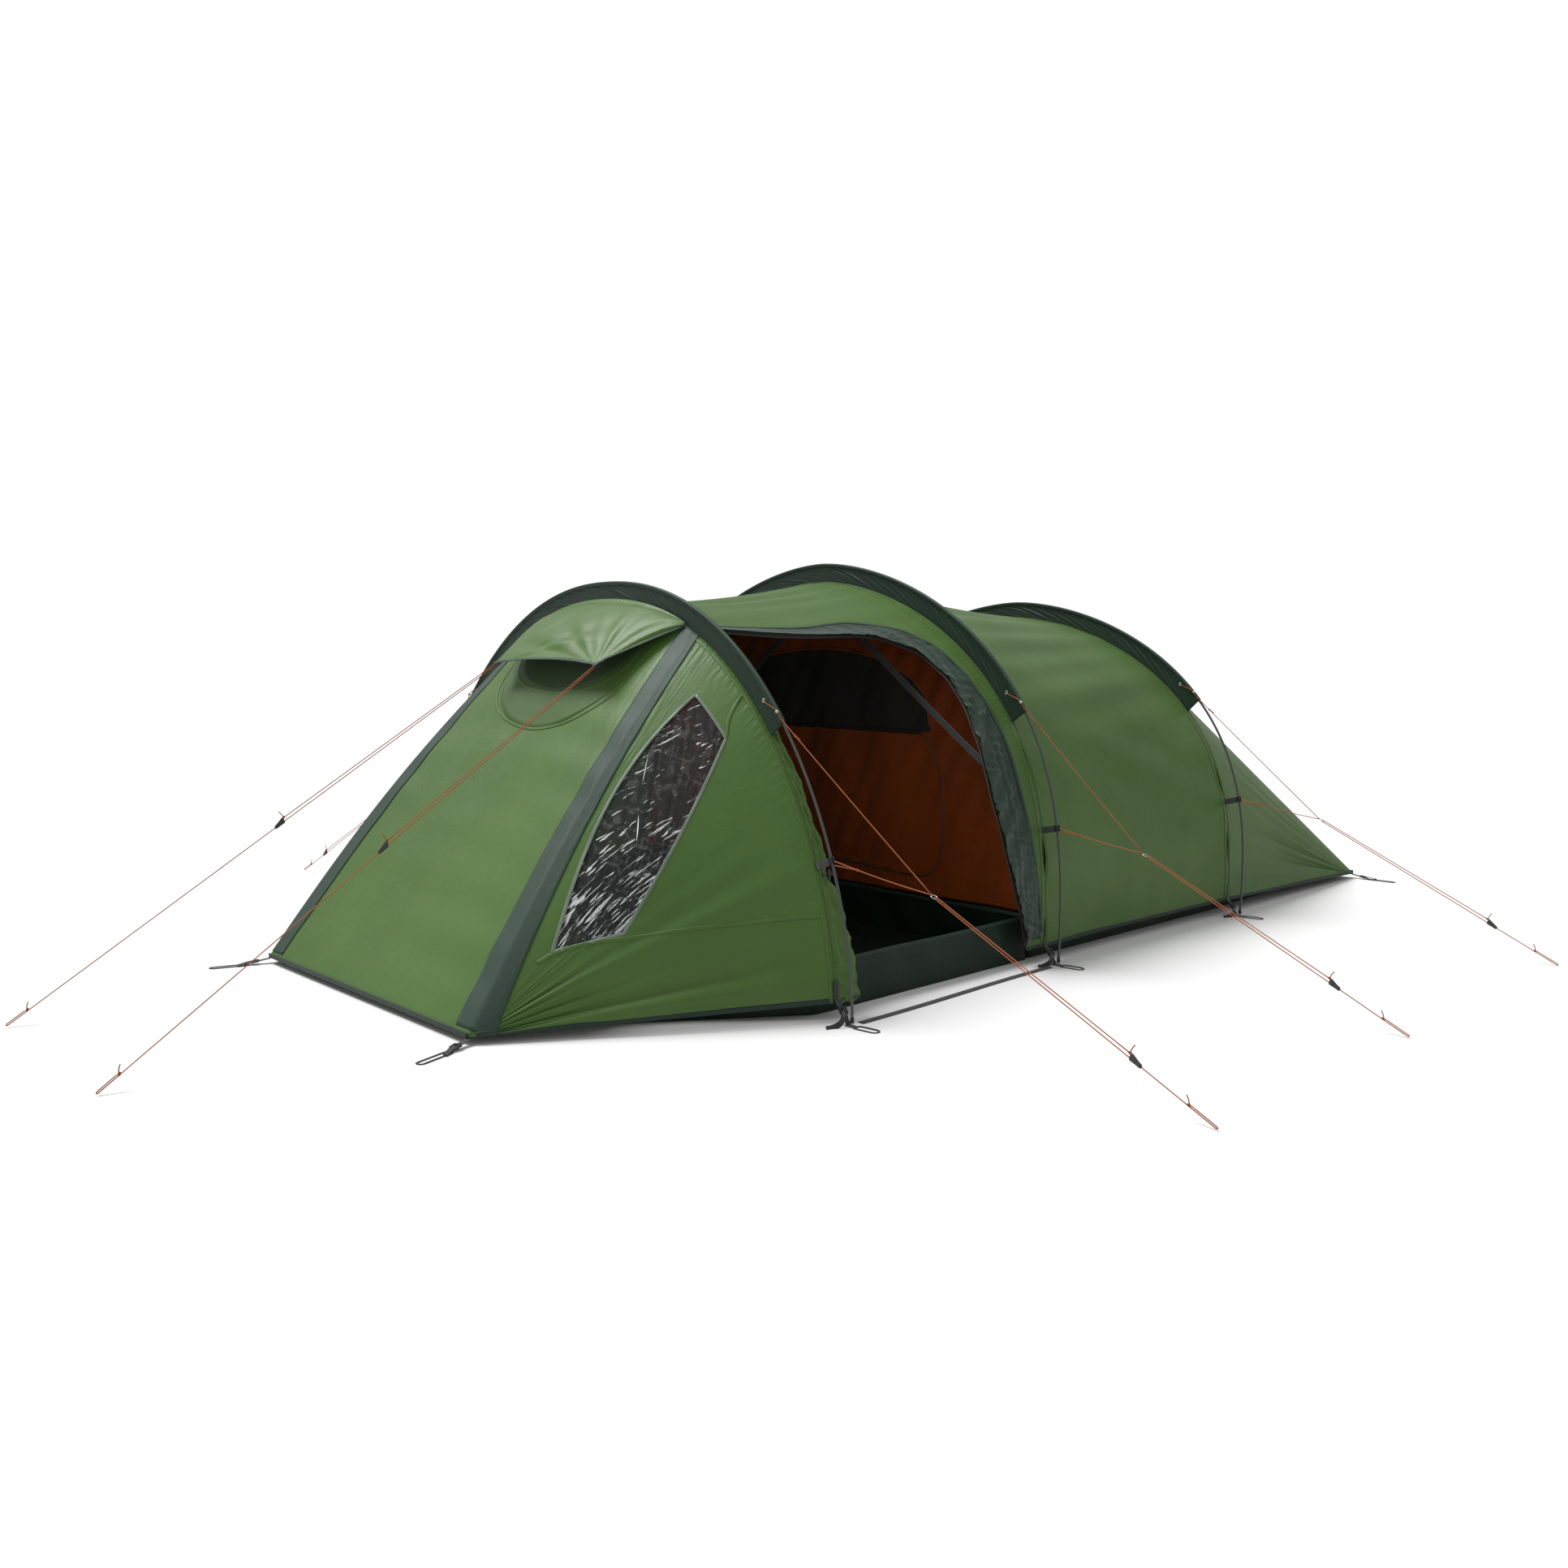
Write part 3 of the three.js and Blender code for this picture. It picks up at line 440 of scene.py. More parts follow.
def bridle(name, hoop, side):
    """A ring on two legs, from the fin's eyelet and from the pole's clip, with the guy line that it holds."""
    node = f"bridle_{name}"
    ring = on_hoop(hoop, side, *RING_PLACE)
    anchor = on_hoop(hoop, side, *SIDE_ANCHOR)
    down = unit(anchor - ring)
    eye = ring - down * RING_RADIUS
    tab_x = hoop_at(hoop, hoop_share(hoop, TAB_HEIGHT))[0]
    end_x = hoop_at(hoop, hoop_share(hoop, SLEEVE_END + 0.030))[0]
    over = [on_hoop(hoop, side, end_x - 0.060, SLEEVE_END + 0.062, 0.005),
            on_hoop(hoop, side, end_x - 0.038, SLEEVE_END + 0.054, 0.0095),
            on_hoop(hoop, side, end_x + 0.004, SLEEVE_END + 0.038, 0.0125),
            on_hoop(hoop, side, end_x + 0.022, SLEEVE_END + 0.014, 0.009)]
    upper = np.concatenate([smooth(over, 14), taut(over[-1], eye, 18, 0.002)[1:]])
    tie = on_hoop(hoop, side, tab_x + 0.011, TAB_HEIGHT)
    lower = taut(tie, eye, 20, 0.004)
    split = lower[5]
    t = np.linspace(-1, 1, 9)[:, None]
    bead = rod(f"{node}_bead", upper[10] + BEAD_HALF * t * unit(upper[11] - upper[9]),
               round_profile(1, 12)[None] * (BEAD_RADIUS * np.sqrt(1.02 - t**2))[..., None], bead_material)
    twin = taut(tie + np.array([0, 0, -0.012]), split, 8)
    second = rod(f"{node}_twin", twin, round_profile(CORD / 2, 8), cord_material)
    wrap = [knot(f"{node}_knot", split, eye - tie), knot(f"{node}_top_knot", upper[15], upper[16] - upper[14])]
    stub = tail(f"{node}_stub", upper[15], upper[17] - upper[15] + np.array([0, 0, 0.02]), (0, 0, -0.1), 0.022)
    angle = np.linspace(0, 2 * pi, 33)[:, None]
    flat = np.array([0, 1.0, 0])
    circle = ring + RING_RADIUS * (np.cos(angle) * down + np.sin(angle) * flat)
    wire = sweep(f"{node}_ring", circle, round_profile(RING_WIRE, 8), across=np.cross(down, flat), cap=False)
    finish(wire, ring_material)
    cord(f"{node}_upper", upper, node)
    cord(f"{node}_lower", lower, node)
    guy(name, ring + down * (RING_RADIUS - RING_WIRE - CORD / 2 - 0.004), anchor, SIDE_RUNNER, SIDE_KNOT)


bridle("front_door_side", "front", 1)
bridle("front_far_side", "front", -1)
bridle("middle_door_side", "middle", 1)
bridle("rear_door_side", "rear", 1)
for side_name, side in (("door_side", 1), ("far_side", -1)):
    flip = np.array([side, 1, 1])
    guy(f"hood_{side_name}", (HOOD_TIP + (0, -0.006, -0.008)) * flip, HOOD_ANCHOR * flip, HOOD_RUNNER, HOOD_KNOT)


# ---- Poles ----
# Three hoops of glossy fibreglass rod, 8.5 mm thick, bent into the sleeves and standing on a steel pin at each foot.

POLE_RADIUS = 0.00425
POLE_FOOT = 0.012


def stretched(tree, x, y, z=1.0, source="UV"):
    """Texture coordinates scaled by different amounts along their axes."""
    place = put(tree, "ShaderNodeTexCoord").outputs[source]
    return put(tree, "ShaderNodeMapping", Vector=place, Scale=(x, y, z)).outputs[0]


def axes(tree, source="UV"):
    """The three parts of a place."""
    return put(tree, "ShaderNodeSeparateXYZ", i0=put(tree, "ShaderNodeTexCoord").outputs[source]).outputs


def noise(tree, vector, scale, detail=2.0, distortion=0.0):
    """A Noise Texture's value."""
    node = put(tree, "ShaderNodeTexNoise", Vector=vector, Scale=scale, Detail=detail, Distortion=distortion)
    return node.outputs[0]


def ramp(tree, value, low, high, to_low=0.0, to_high=1.0):
    """A value's range stretched onto another, and held inside it."""
    settings = {"clamp": True}
    inputs = {"Value": value, "From_Min": low, "From_Max": high, "To_Min": to_low, "To_Max": to_high}
    return put(tree, "ShaderNodeMapRange", settings, **inputs).outputs[0]


def raised(tree, bsdf, height):
    """Bumps a shader by a height in metres."""
    bump = put(tree, "ShaderNodeBump", Distance=1.0, Strength=1.0, Height=height)
    tree.links.new(bump.outputs[0], bsdf.inputs["Normal"])


pole_material, tree, bsdf = shader("pole_fibreglass", (0.06, 0.065, 0.07), 0.3, Coat_Weight=0.3, Coat_Roughness=0.2)
streaks = noise(tree, stretched(tree, 3.0, 900.0), 1.0, 3.0)
tree.links.new(tinted(tree, ramp(tree, streaks, 0.35, 0.7), (0.05, 0.055, 0.06), (0.085, 0.09, 0.095)),
               bsdf.inputs["Base Color"])
tree.links.new(ramp(tree, streaks, 0.3, 0.7, 0.24, 0.4), bsdf.inputs["Roughness"])
raised(tree, bsdf, sums(tree, "MULTIPLY", streaks, 0.0001))

for hoop in HOOPS:
    low = hoop_share(hoop, POLE_FOOT)
    rod(f"pole_{hoop}_rod", hoop_at(hoop, np.linspace(low, 1 - low, 260)), round_profile(POLE_RADIUS, 16),
        pole_material, hoop_square(hoop), node=f"pole_{hoop}")

# ---- Cloth ----
# Coated polyester in several colours: a fine plain weave with a satin face, soft crinkles, and gathers at the seams.

FIN = 0.062
HEM = 0.055


def folds(x, y, seed, terms=7):
    """A sum of sine waves that run mostly along x, with random phases and with wavelengths near 1."""
    rng = np.random.default_rng(seed)
    total = 0.0
    for _ in range(terms):
        along_x, along_y, phase = rng.uniform(0.55, 1.6), rng.uniform(-0.6, 0.6), rng.uniform(0, 2 * pi)
        total = total + np.sin(2 * pi * (along_x * x + along_y * y) + phase)
    return total / terms**0.5


def near(distance, reach):
    """1 at no distance, falling to 0 as a bell with a given reach."""
    return np.exp(-((distance / reach) ** 2))


def thicken(piece, thickness):
    """Gives a sheet its thickness, half on each side."""
    solid = piece.modifiers.new("thickness", "SOLIDIFY")
    solid.thickness = thickness
    solid.offset = 0
    return piece


def paint(piece, name, values):
    """A number for each vertex of a piece, that its material reads."""
    layer = piece.data.attributes.new(name, "FLOAT", "POINT")
    layer.data.foreach_set("value", np.ravel(values).astype(np.float32))


def cut_away(piece, gone):
    """Deletes the vertices of a grid that lie in an opening."""
    shape = bmesh.new()
    shape.from_mesh(piece.data)
    shape.verts.ensure_lookup_table()
    bmesh.ops.delete(shape, geom=[shape.verts[i] for i in np.flatnonzero(gone)], context="VERTS")
    shape.to_mesh(piece.data)
    shape.free()


TAPE = 0.0008
LIGHT_CLOTH = 0.0010


def cloth_piece(name, points, material, gather=None, thickness=TAPE, node=None,
                gone=False):
    """One sheet on a grid, with its gathers, opening and thickness."""
    piece = surface(name, points)
    if gather is not None:
        paint(piece, "gather", np.broadcast_to(gather, points.shape[:2]))
    if np.any(gone):
        cut_away(piece, gone)
    finish(thicken(piece, thickness), material, node=node)
    area = np.zeros(len(piece.data.polygons))
    piece.data.polygons.foreach_get("area", area)


cloth, told, made = group("cloth", {"UV": None, "Place": None, "Gather": 0.0, "Crinkle": 1.0}, ["Height", "Shade"])
place = put(cloth, "ShaderNodeSeparateXYZ", i0=told["UV"]).outputs
threads = [sums(cloth, "SINE", sums(cloth, "MULTIPLY", place[k], 2 * pi / 0.0011)) for k in (0, 1)]
weave = sums(cloth, "MULTIPLY", sums(cloth, "MULTIPLY", threads[0], threads[1]), 0.00002)
soft = put(cloth, "ShaderNodeTexNoise", Vector=told["Place"], Scale=11.0, Detail=5.0, Roughness=0.62, Distortion=0.5)
crisp = put(cloth, "ShaderNodeTexNoise", Vector=told["Place"], Scale=46.0, Detail=3.0, Distortion=1.2)
crinkle = sums(cloth, "MULTIPLY_ADD", soft.outputs[0], 0.0022, sums(cloth, "MULTIPLY", crisp.outputs[0], 0.0004))
crinkle = sums(cloth, "MULTIPLY", crinkle, told["Crinkle"])
ridges = put(cloth, "ShaderNodeMapping", Vector=told["UV"], Scale=(95.0, 9.0, 1.0))
pleats = put(cloth, "ShaderNodeTexNoise", Vector=ridges.outputs[0], Scale=1.0, Detail=1.0)
pucker = sums(cloth, "MULTIPLY", sums(cloth, "MULTIPLY", pleats.outputs[0], 0.0035), told["Gather"])
cloth.links.new(sums(cloth, "ADD", weave, sums(cloth, "ADD", crinkle, pucker)), made["Height"])
broad = put(cloth, "ShaderNodeTexNoise", Vector=told["Place"], Scale=2.2, Detail=4.0, Roughness=0.6)
cloth.links.new(broad.outputs[0], made["Shade"])


def fabric(name, light, dark, roughness, crinkle=1.0, through=0.0, sheen=0.25):
    """Coated cloth: two shades of a colour in broad soft clouds, with gathers where the gather attribute says."""
    material, tree, bsdf = shader(name, light, roughness, Sheen_Weight=sheen, Sheen_Roughness=0.35, IOR=1.4,
                                  Transmission_Weight=through)
    uv = put(tree, "ShaderNodeTexCoord").outputs
    gather = put(tree, "ShaderNodeAttribute", {"attribute_name": "gather"}).outputs["Fac"]
    look = put(tree, "ShaderNodeGroup", {"node_tree": cloth}, UV=uv["UV"], Place=uv["Object"], Gather=gather,
               Crinkle=crinkle).outputs
    tree.links.new(tinted(tree, ramp(tree, look["Shade"], 0.3, 0.7), dark, light), bsdf.inputs["Base Color"])
    tree.links.new(ramp(tree, look["Shade"], 0.3, 0.7, roughness + 0.05, roughness - 0.04), bsdf.inputs["Roughness"])
    raised(tree, bsdf, look["Height"])
    return material


fly_cloth = fabric("fly_cloth", (0.094, 0.190, 0.038), (0.074, 0.156, 0.029), 0.46, through=0.10, sheen=0.06)
hood_cloth = fabric("hood_cloth", (0.102, 0.205, 0.044), (0.084, 0.172, 0.034), 0.42, through=0.10, sheen=0.1)
dark_cloth = fabric("dark_cloth", (0.014, 0.038, 0.021), (0.010, 0.029, 0.016), 0.42, 1.0)
strip_cloth = fabric("strip_cloth", (0.036, 0.072, 0.050), (0.028, 0.058, 0.040), 0.55, 0.9, sheen=0.05)
flap_cloth = fabric("flap_cloth", (0.030, 0.060, 0.038), (0.020, 0.044, 0.028), 0.32, 2.2)
hem_cloth = fabric("hem_cloth", (0.022, 0.045, 0.030), (0.017, 0.035, 0.024), 0.6, 0.5)
inner_cloth = fabric("inner_cloth", (0.44, 0.080, 0.006), (0.32, 0.056, 0.004), 0.5, 1.8, through=0.25)
ground_cloth = fabric("ground_cloth", (0.006, 0.024, 0.011), (0.003, 0.015, 0.007), 0.52, 2.2, sheen=0.03)
band_cloth = fabric("band_cloth", (0.030, 0.024, 0.020), (0.022, 0.018, 0.015), 0.7, 0.5)

# ---- Pole sleeves ----
# A fin of doubled dark cloth stands on each seam of the fly, with a channel for the pole along its outer edge. It
# stops above the bare legs of the pole, cut at a slant, and its end holds a steel eyelet for the guy bridle.

CHANNEL = 0.0072
FIN_HALF = 0.0013
SLANT = 0.004
SLEEVE_ROWS = 300


def fin_profile(count):
    """The sleeve's section as (outward, along the tent): up one face, round the channel and down the other face."""
    angle = np.linspace(-pi + 0.22, pi - 0.22, 15)
    ring = CHANNEL * np.stack([np.cos(angle), np.sin(angle)], axis=-1)
    face = np.stack([np.linspace(-FIN - 0.001, ring[0, 0] - 0.002, count), np.full(count, -FIN_HALF)], axis=-1)
    return np.concatenate([face, ring, face[::-1] * (1, -1)])


for hoop in HOOPS:
    end = hoop_share(hoop, SLEEVE_END)
    profile = fin_profile(16)
    depth = np.clip(-profile[:, 0] / FIN, 0, 1)
    total = hoop_table(hoop, 0.0)[2]
    low = end - SLANT * depth / total
    t = np.linspace(0, 1, SLEEVE_ROWS)[:, None]
    share = mix(low, 1 - low, t)
    along = share * total
    ripple = 0.0016 * folds(along / 0.075 + 6 * depth / 1.6, depth, 5) * np.sin(pi * np.clip(depth, 0, 1)) ** 0.6
    first, second = profile[:, :1], profile[:, 1:]
    outwards = hoop_outward(hoop, share)
    points = hoop_at(hoop, share) + outwards * first + hoop_square(hoop) * (second + ripple[..., None])
    cloth_piece(f"sleeve_{hoop}_fin", points, dark_cloth,
                near(depth - 0.16, 0.12) * 0.45, node=f"sleeve_{hoop}")

    # The rim of the channel, in the lighter strip cloth: a painted highlight along the channel's rounded edge.
    arc = np.linspace(-1.2, 1.2, 9)
    rim = CHANNEL + 0.0009
    over = hoop_at(hoop, t * (1 - 2 * end) + end)
    facing = hoop_outward(hoop, t * (1 - 2 * end) + end)
    band = over + rim * (np.cos(arc)[:, None] * facing + np.sin(arc)[:, None] * hoop_square(hoop))
    cloth_piece(f"sleeve_{hoop}_rim", band, strip_cloth, 0.0, 0.0005)

    for side in (1, -1):
        end_x = hoop_at(hoop, hoop_share(hoop, SLEEVE_END + 0.030))[0]
        centre = on_hoop(hoop, side, end_x - 0.060, SLEEVE_END + 0.062, 0.0025)
        angle = np.linspace(0, 2 * pi, 25)[:-1]
        bead = np.linspace(0, 2 * pi, 9)[:-1]
        radius = 0.0052 + 0.0019 * np.cos(bead)
        upward = np.cross(hoop_square(hoop), (1.0, 0, 0))
        turn = np.cos(angle)[:, None, None] * np.array([1.0, 0, 0]) + np.sin(angle)[:, None, None] * upward
        torus = centre + radius[None, :, None] * turn - 0.0010 * np.sin(bead)[None, :, None] * hoop_square(hoop)
        torus = np.concatenate([torus, torus[:1]])
        eyelet = outward(surface(f"sleeve_{hoop}_eyelet_{'near' if side > 0 else 'far'}", torus, wrap=True))
        finish(eyelet, ring_material)

# ---- Fly ----
# Coated polyester stretched from hoop to hoop in four sections: the porch, the living bay with the side door, the
# bedroom bay and the tail. Each is a grid of a share round its hoops and a share along the tent.

FLY_THICK = 0.0012
FLIP = np.array([-1.0, 1.0, 1.0])


class Skin:
    """A sheet over a base surface of (round, along), moved along its outward normal by a height. cloth names it."""

    def __init__(self, cloth, base, height, middle):
        self.cloth = cloth
        self.base = base
        self.height = height
        self.middle = np.array(middle, float)

    def at(self, a, b, lift=0.0):
        a, b = np.broadcast_arrays(a, b)
        step = 1e-4
        here = self.base(a, b)
        along_a = self.base(a + step, b) - self.base(a - step, b)
        along_b = self.base(a, b + step) - self.base(a, b - step)
        normal = unit(np.cross(along_a, along_b))
        facing = np.sign((normal * (here - self.middle)).sum(-1, keepdims=True))
        return here + normal * facing * (self.height(a, b) + lift)[..., None]


def bay(front, rear, inset=FIN, low=HEM):
    """A ruled surface between two hoops, at equal shares of their lengths above the hem."""
    hems = [hoop_share(front, low, inset), hoop_share(rear, low, inset)]

    def base(a, b):
        ends = [hoop_at(h, mix(hem, 1 - hem, a), inset) for h, hem in zip((front, rear), hems)]
        return mix(*ends, mix(0.0003, 0.9997, b)[..., None])

    return base


def end_section(hoop, strip, corner, inset=FIN, low=HEM, clear=0.001, bow=0.0):
    """Two cones from a hoop's sides to the fly's corners and an end panel between them, by share of the hoop.

    The seams down to the corners bow outwards by a distance, and draw the panels beside them along."""
    hem = hoop_share(hoop, low, inset)
    corner = np.array(corner)
    side = corner + 0.025 * unit(hoop_at(hoop, hem, inset) - corner)
    shares = [hem, strip, 1 - strip, 1 - hem]
    line = np.stack([side, corner, corner * FLIP, side * FLIP])

    def base(a, b):
        top = hoop_at(hoop, a, inset) + np.array([0, clear * np.sign(corner[1]), 0])
        bottom = np.stack([np.interp(a, shares, line[:, k]) for k in range(3)], axis=-1)
        half = np.minimum(a, 1 - a)
        beside = np.where(half < strip, np.clip((half - hem) / (strip - hem), 0, 1), (0.5 - half) / (0.5 - strip))
        lifted = bow * np.sin(pi * np.clip(b, 0, 1)) * beside**1.5
        return mix(top, bottom, b[..., None]) + lifted[..., None] * np.array([0, 0.72 * np.sign(corner[1]), 0.68])

    return base, hem


def living_height(a, b):
    """Between two hoops the cloth sags towards the tent's axis, most at the top, in soft folds from hoop to hoop."""
    sag = 4 * b * (1 - b) * (0.010 + 0.020 * near(a - 0.5, 0.22))
    ripple = 0.0042 * folds(a * 22, b * 0.7, 11) * np.sin(pi * b) ** 0.5 * near(a - 0.5, 0.4)
    pleats = 0.0030 * folds(b * 26, a * 3, 12) * near(b - 0.92, 0.07) * near(a, 0.42) * np.clip((1 - b) * 25, 0, 1)
    return -sag + ripple + pleats


def bedroom_height(a, b):
    """Sag, with long folds that start at the middle hoop's shoulder and fan out to the rear."""
    sag = 4 * b * (1 - b) * (0.008 + 0.016 * near(a - 0.5, 0.22))
    slant = np.minimum(a, 1 - a)
    fan = 0.0100 * folds(slant * 15 - b * 0.9, b * 0.3, 21) * np.sin(pi * b) ** 0.5 * near(slant - 0.33, 0.13)
    tab = 0.0035 * near(slant - 0.17 + 0.03 * (1 - b), 0.012 + 0.03 * (1 - b)) * b**1.5 * np.clip((1 - b) * 20, 0, 1)
    low = 0.0042 * folds(slant * 12 + b * 1.5, b, 22) * near(slant - 0.1, 0.1)
    return -sag + fan + tab + low


PORCH_STRIP = 0.369
PORCH_CORNER = (0.635, -2.027, 0.022)
TAIL_STRIP = 0.27
TAIL_CORNER = (1.110, 2.195, 0.022)
porch_base, porch_hem = end_section("front", PORCH_STRIP, PORCH_CORNER, bow=0.042)
tail_base, tail_hem = end_section("rear", TAIL_STRIP, TAIL_CORNER)


def panel_share(a, hem, strip):
    """How far a share is across a side panel, from 0 at the hem to 1 at the corner's seam, and more beyond it."""
    return (np.minimum(a, 1 - a) - hem) / (strip - hem)


def porch_height(a, b):
    """The end panel hangs a little, and the side panels are drawn into long folds towards the corner."""
    side = panel_share(a, porch_hem, PORCH_STRIP)
    across = np.clip((side - 1) / 0.74, 0, 1)
    end = -0.016 * np.sin(pi * b) * np.sin(pi * across / 2) + 0.0012 * folds(b * 7, a * 9, 33)
    fan = 0.0150 * folds(side * 7.5, b * 0.5, 31) * np.sin(pi * np.clip(b, 0, 1)) ** 0.7 * near(side - 0.14, 0.17)
    gather = 0.0030 * folds(side * 20, b * 1.5, 32) * near(b - 0.84, 0.16) * np.clip((0.66 - side) * 7, 0, 1)
    wall = -0.010 * np.sin(pi * b) * np.sin(pi * np.clip(side, 0, 1))
    edge = np.clip(np.minimum(side, 1) * 12, 0, 1)
    return np.where(side > 1, end, (wall + fan + gather) * edge) * np.clip((1 - b) * 12, 0, 1)


def tail_height(a, b):
    """The tail's cones are taut, with a few folds up from the hem."""
    side = panel_share(a, tail_hem, TAIL_STRIP)
    wall = -0.010 * np.sin(pi * b) * np.abs(np.sin(pi * np.clip(side, 0, 1)))
    fan = 0.0055 * folds(side * 6, b * 1.2, 41) * np.sin(pi * np.clip(b, 0, 1)) * near(side - 0.3, 0.35)
    end = -0.022 * np.sin(pi * b) + 0.003 * folds(b * 5, a * 7, 42)
    edge = np.clip(np.minimum(side, 1) * 12, 0, 1)
    return np.where(side > 1, end, (wall + fan) * edge) * np.clip((1 - b) * 12, 0, 1) * np.clip(b * 12, 0, 1)


living = Skin("fly_living_bay", bay("front", "middle"), living_height, (0, -0.65, 0))
bedroom = Skin("fly_bedroom_bay", bay("middle", "rear"), bedroom_height, (0, 0.45, 0))
porch = Skin("fly_porch_section", porch_base, porch_height, (0, -1.2, 0))
tail_end = Skin("fly_tail_section", tail_base, tail_height, (0, 1.1, 0))


def on_wall(skin, places):
    """The (round, along) of a skin at given [y, z] on the door side, by Newton's method."""
    places = np.asarray(places, float)
    at = np.full(places.shape, (0.2, 0.5))
    step = 1e-4
    for _ in range(30):
        here = skin.base(at[:, 0], at[:, 1])[:, 1:]
        by_a = (skin.base(at[:, 0] + step, at[:, 1])[:, 1:] - here) / step
        by_b = (skin.base(at[:, 0], at[:, 1] + step)[:, 1:] - here) / step
        miss = places - here
        size = by_a[:, 0] * by_b[:, 1] - by_a[:, 1] * by_b[:, 0]
        move = np.stack([miss[:, 0] * by_b[:, 1] - miss[:, 1] * by_b[:, 0],
                         by_a[:, 0] * miss[:, 1] - by_a[:, 1] * miss[:, 0]], axis=-1) / size[:, None]
        at = np.clip(at + np.clip(move, -0.1, 0.1), 0.002, 1.05)
    return at


def inside(places, outline):
    """Whether each place lies in a closed outline: a ray to its right crosses an odd number of edges."""
    a, b = outline, np.roll(outline, -1, axis=0)
    height = places[..., None, 1]
    straddles = (a[:, 1] > height) != (b[:, 1] > height)
    rise = np.where(a[:, 1] == b[:, 1], 1.0, b[:, 1] - a[:, 1])
    crossing = a[:, 0] + (height - a[:, 1]) / rise * (b[:, 0] - a[:, 0])
    return (straddles & (places[..., None, 0] < crossing)).sum(-1) % 2 == 1


def hollow(grid, outline, scale):
    """Draws a grid's (round, along) just inside an outline out onto it, and says which places are to be cut away."""
    hidden = inside(grid, outline)
    padded = np.pad(hidden, 1, constant_values=True)
    whole = padded[:-2, 1:-1] & padded[2:, 1:-1] & padded[1:-1, :-2] & padded[1:-1, 2:]
    whole &= padded[:-2, :-2] & padded[2:, 2:] & padded[2:, :-2] & padded[:-2, 2:]
    border = hidden & ~whole
    gaps = (grid[border][:, None] - outline) * scale
    grid[border] = outline[np.argmin((gaps**2).sum(-1), axis=1)]
    return hidden & whole


DOOR_TOP = 1.094
DOOR_REAR = [(-0.450, 1.090), (-0.352, 1.066), (-0.290, 1.010), (-0.274, 0.898), (-0.307, 0.720), (-0.330, 0.540),
             (-0.309, 0.332), (-0.250, 0.086)]
DOOR_MARGIN = 0.008


def door_front(z):
    """Where the door's front edge is, just behind the front hoop's seam."""
    return HOOPS["front"]["foot"] + HOOPS["front"]["lean"] * z + DOOR_MARGIN


front_edge = [(door_front(z), z) for z in np.linspace(HEM, DOOR_TOP, 30)]
top_edge = [(y, DOOR_TOP) for y in np.linspace(door_front(DOOR_TOP), -0.653, 30)[1:]]
rear_edge = smooth([(-0.653, DOOR_TOP), *DOOR_REAR, (-0.243, HEM)], 120)[1:]
door_edge = on_wall(living, np.concatenate([front_edge, top_edge, rear_edge]))
below = np.array([[-0.05, door_edge[-1, 1]], [-0.05, door_edge[0, 1]]])
door_outline = np.concatenate([door_edge, below])

def section(skin, rows, columns, gather, node, outlines=(), scale=None):
    """One section of the fly: gathers by (round, along), with openings inside outlines, sewn to the sleeves' fins."""
    grid = np.stack(np.meshgrid(rows, columns, indexing="ij"), axis=-1)
    gone = np.zeros(grid.shape[:2], bool)
    for outline in outlines:
        gone |= hollow(grid, outline, scale)
    cloth_piece(skin.cloth, skin.at(grid[..., 0], grid[..., 1]), fly_cloth,
                gather(grid[..., 0], grid[..., 1]), FLY_THICK, node, gone)


section(living, np.linspace(0, 1, 330), np.linspace(0, 1, 90), lambda a, b: near(np.minimum(b, 1 - b), 0.05),
        "fly_living", [door_outline], (3.1, 1.0))
section(bedroom, np.linspace(0, 1, 280), np.linspace(0, 1, 100), lambda a, b: near(np.minimum(b, 1 - b), 0.045),
        "fly_bedroom")

WINDOW = [(-1.215, 0.902), (-1.218, 0.779), (-1.628, 0.270), (-1.793, 0.229)]
WINDOW_BOW = np.array([-0.036, 0.034])


def window_outline(grow=0.0, count=60):
    """The window's four edges, of which the front one bows, as (round, along) on the porch, let out by a distance."""
    corners = np.array(WINDOW)
    centre = corners.mean(0)
    corners = corners + grow * unit(corners - centre)
    t = np.linspace(0, 1, count, endpoint=False)[:, None]
    edges = [mix(corners[k], corners[(k + 1) % 4], t) for k in range(4)]
    edges[3] = edges[3] + WINDOW_BOW * 4 * t * (1 - t)
    return on_wall(porch, np.concatenate(edges))


def mirrored(places, far=True):
    """(round, along) places, turned to the far side."""
    return places * (-1, 1) + (1, 0) if far else places


def side_rows(hem, strip, side_count, end_count):
    """Shares round a hoop, with a row on each corner's seam."""
    return np.concatenate([np.linspace(hem, strip, side_count), np.linspace(strip, 1 - strip, end_count)[1:],
                           np.linspace(1 - strip, 1 - hem, side_count)[1:]])


section(porch, side_rows(porch_hem, PORCH_STRIP, 120, 90), np.linspace(0, 1, 110),
        lambda a, b: near(b, 0.04) + near(panel_share(a, porch_hem, PORCH_STRIP) - 1, 0.08), "fly_porch",
        [window_outline(), mirrored(window_outline())], (2.5, 1.1))
section(tail_end, side_rows(tail_hem, TAIL_STRIP, 70, 110), np.linspace(0, 1, 100), lambda a, b: near(b, 0.04),
        "fly_tail")

# ---- Strips, seams and hems ----
# Grey-green strips cover the porch's corner seams. Narrow felled seams run along every joint of the fly, and a dark
# binding closes its hem.


def strip(name, skin, a, b, lift, material, gather=0.0):
    """A band on a skin: (round, along) grids, lifted off it."""
    cloth_piece(name, skin.at(a, b, lift), material, gather)


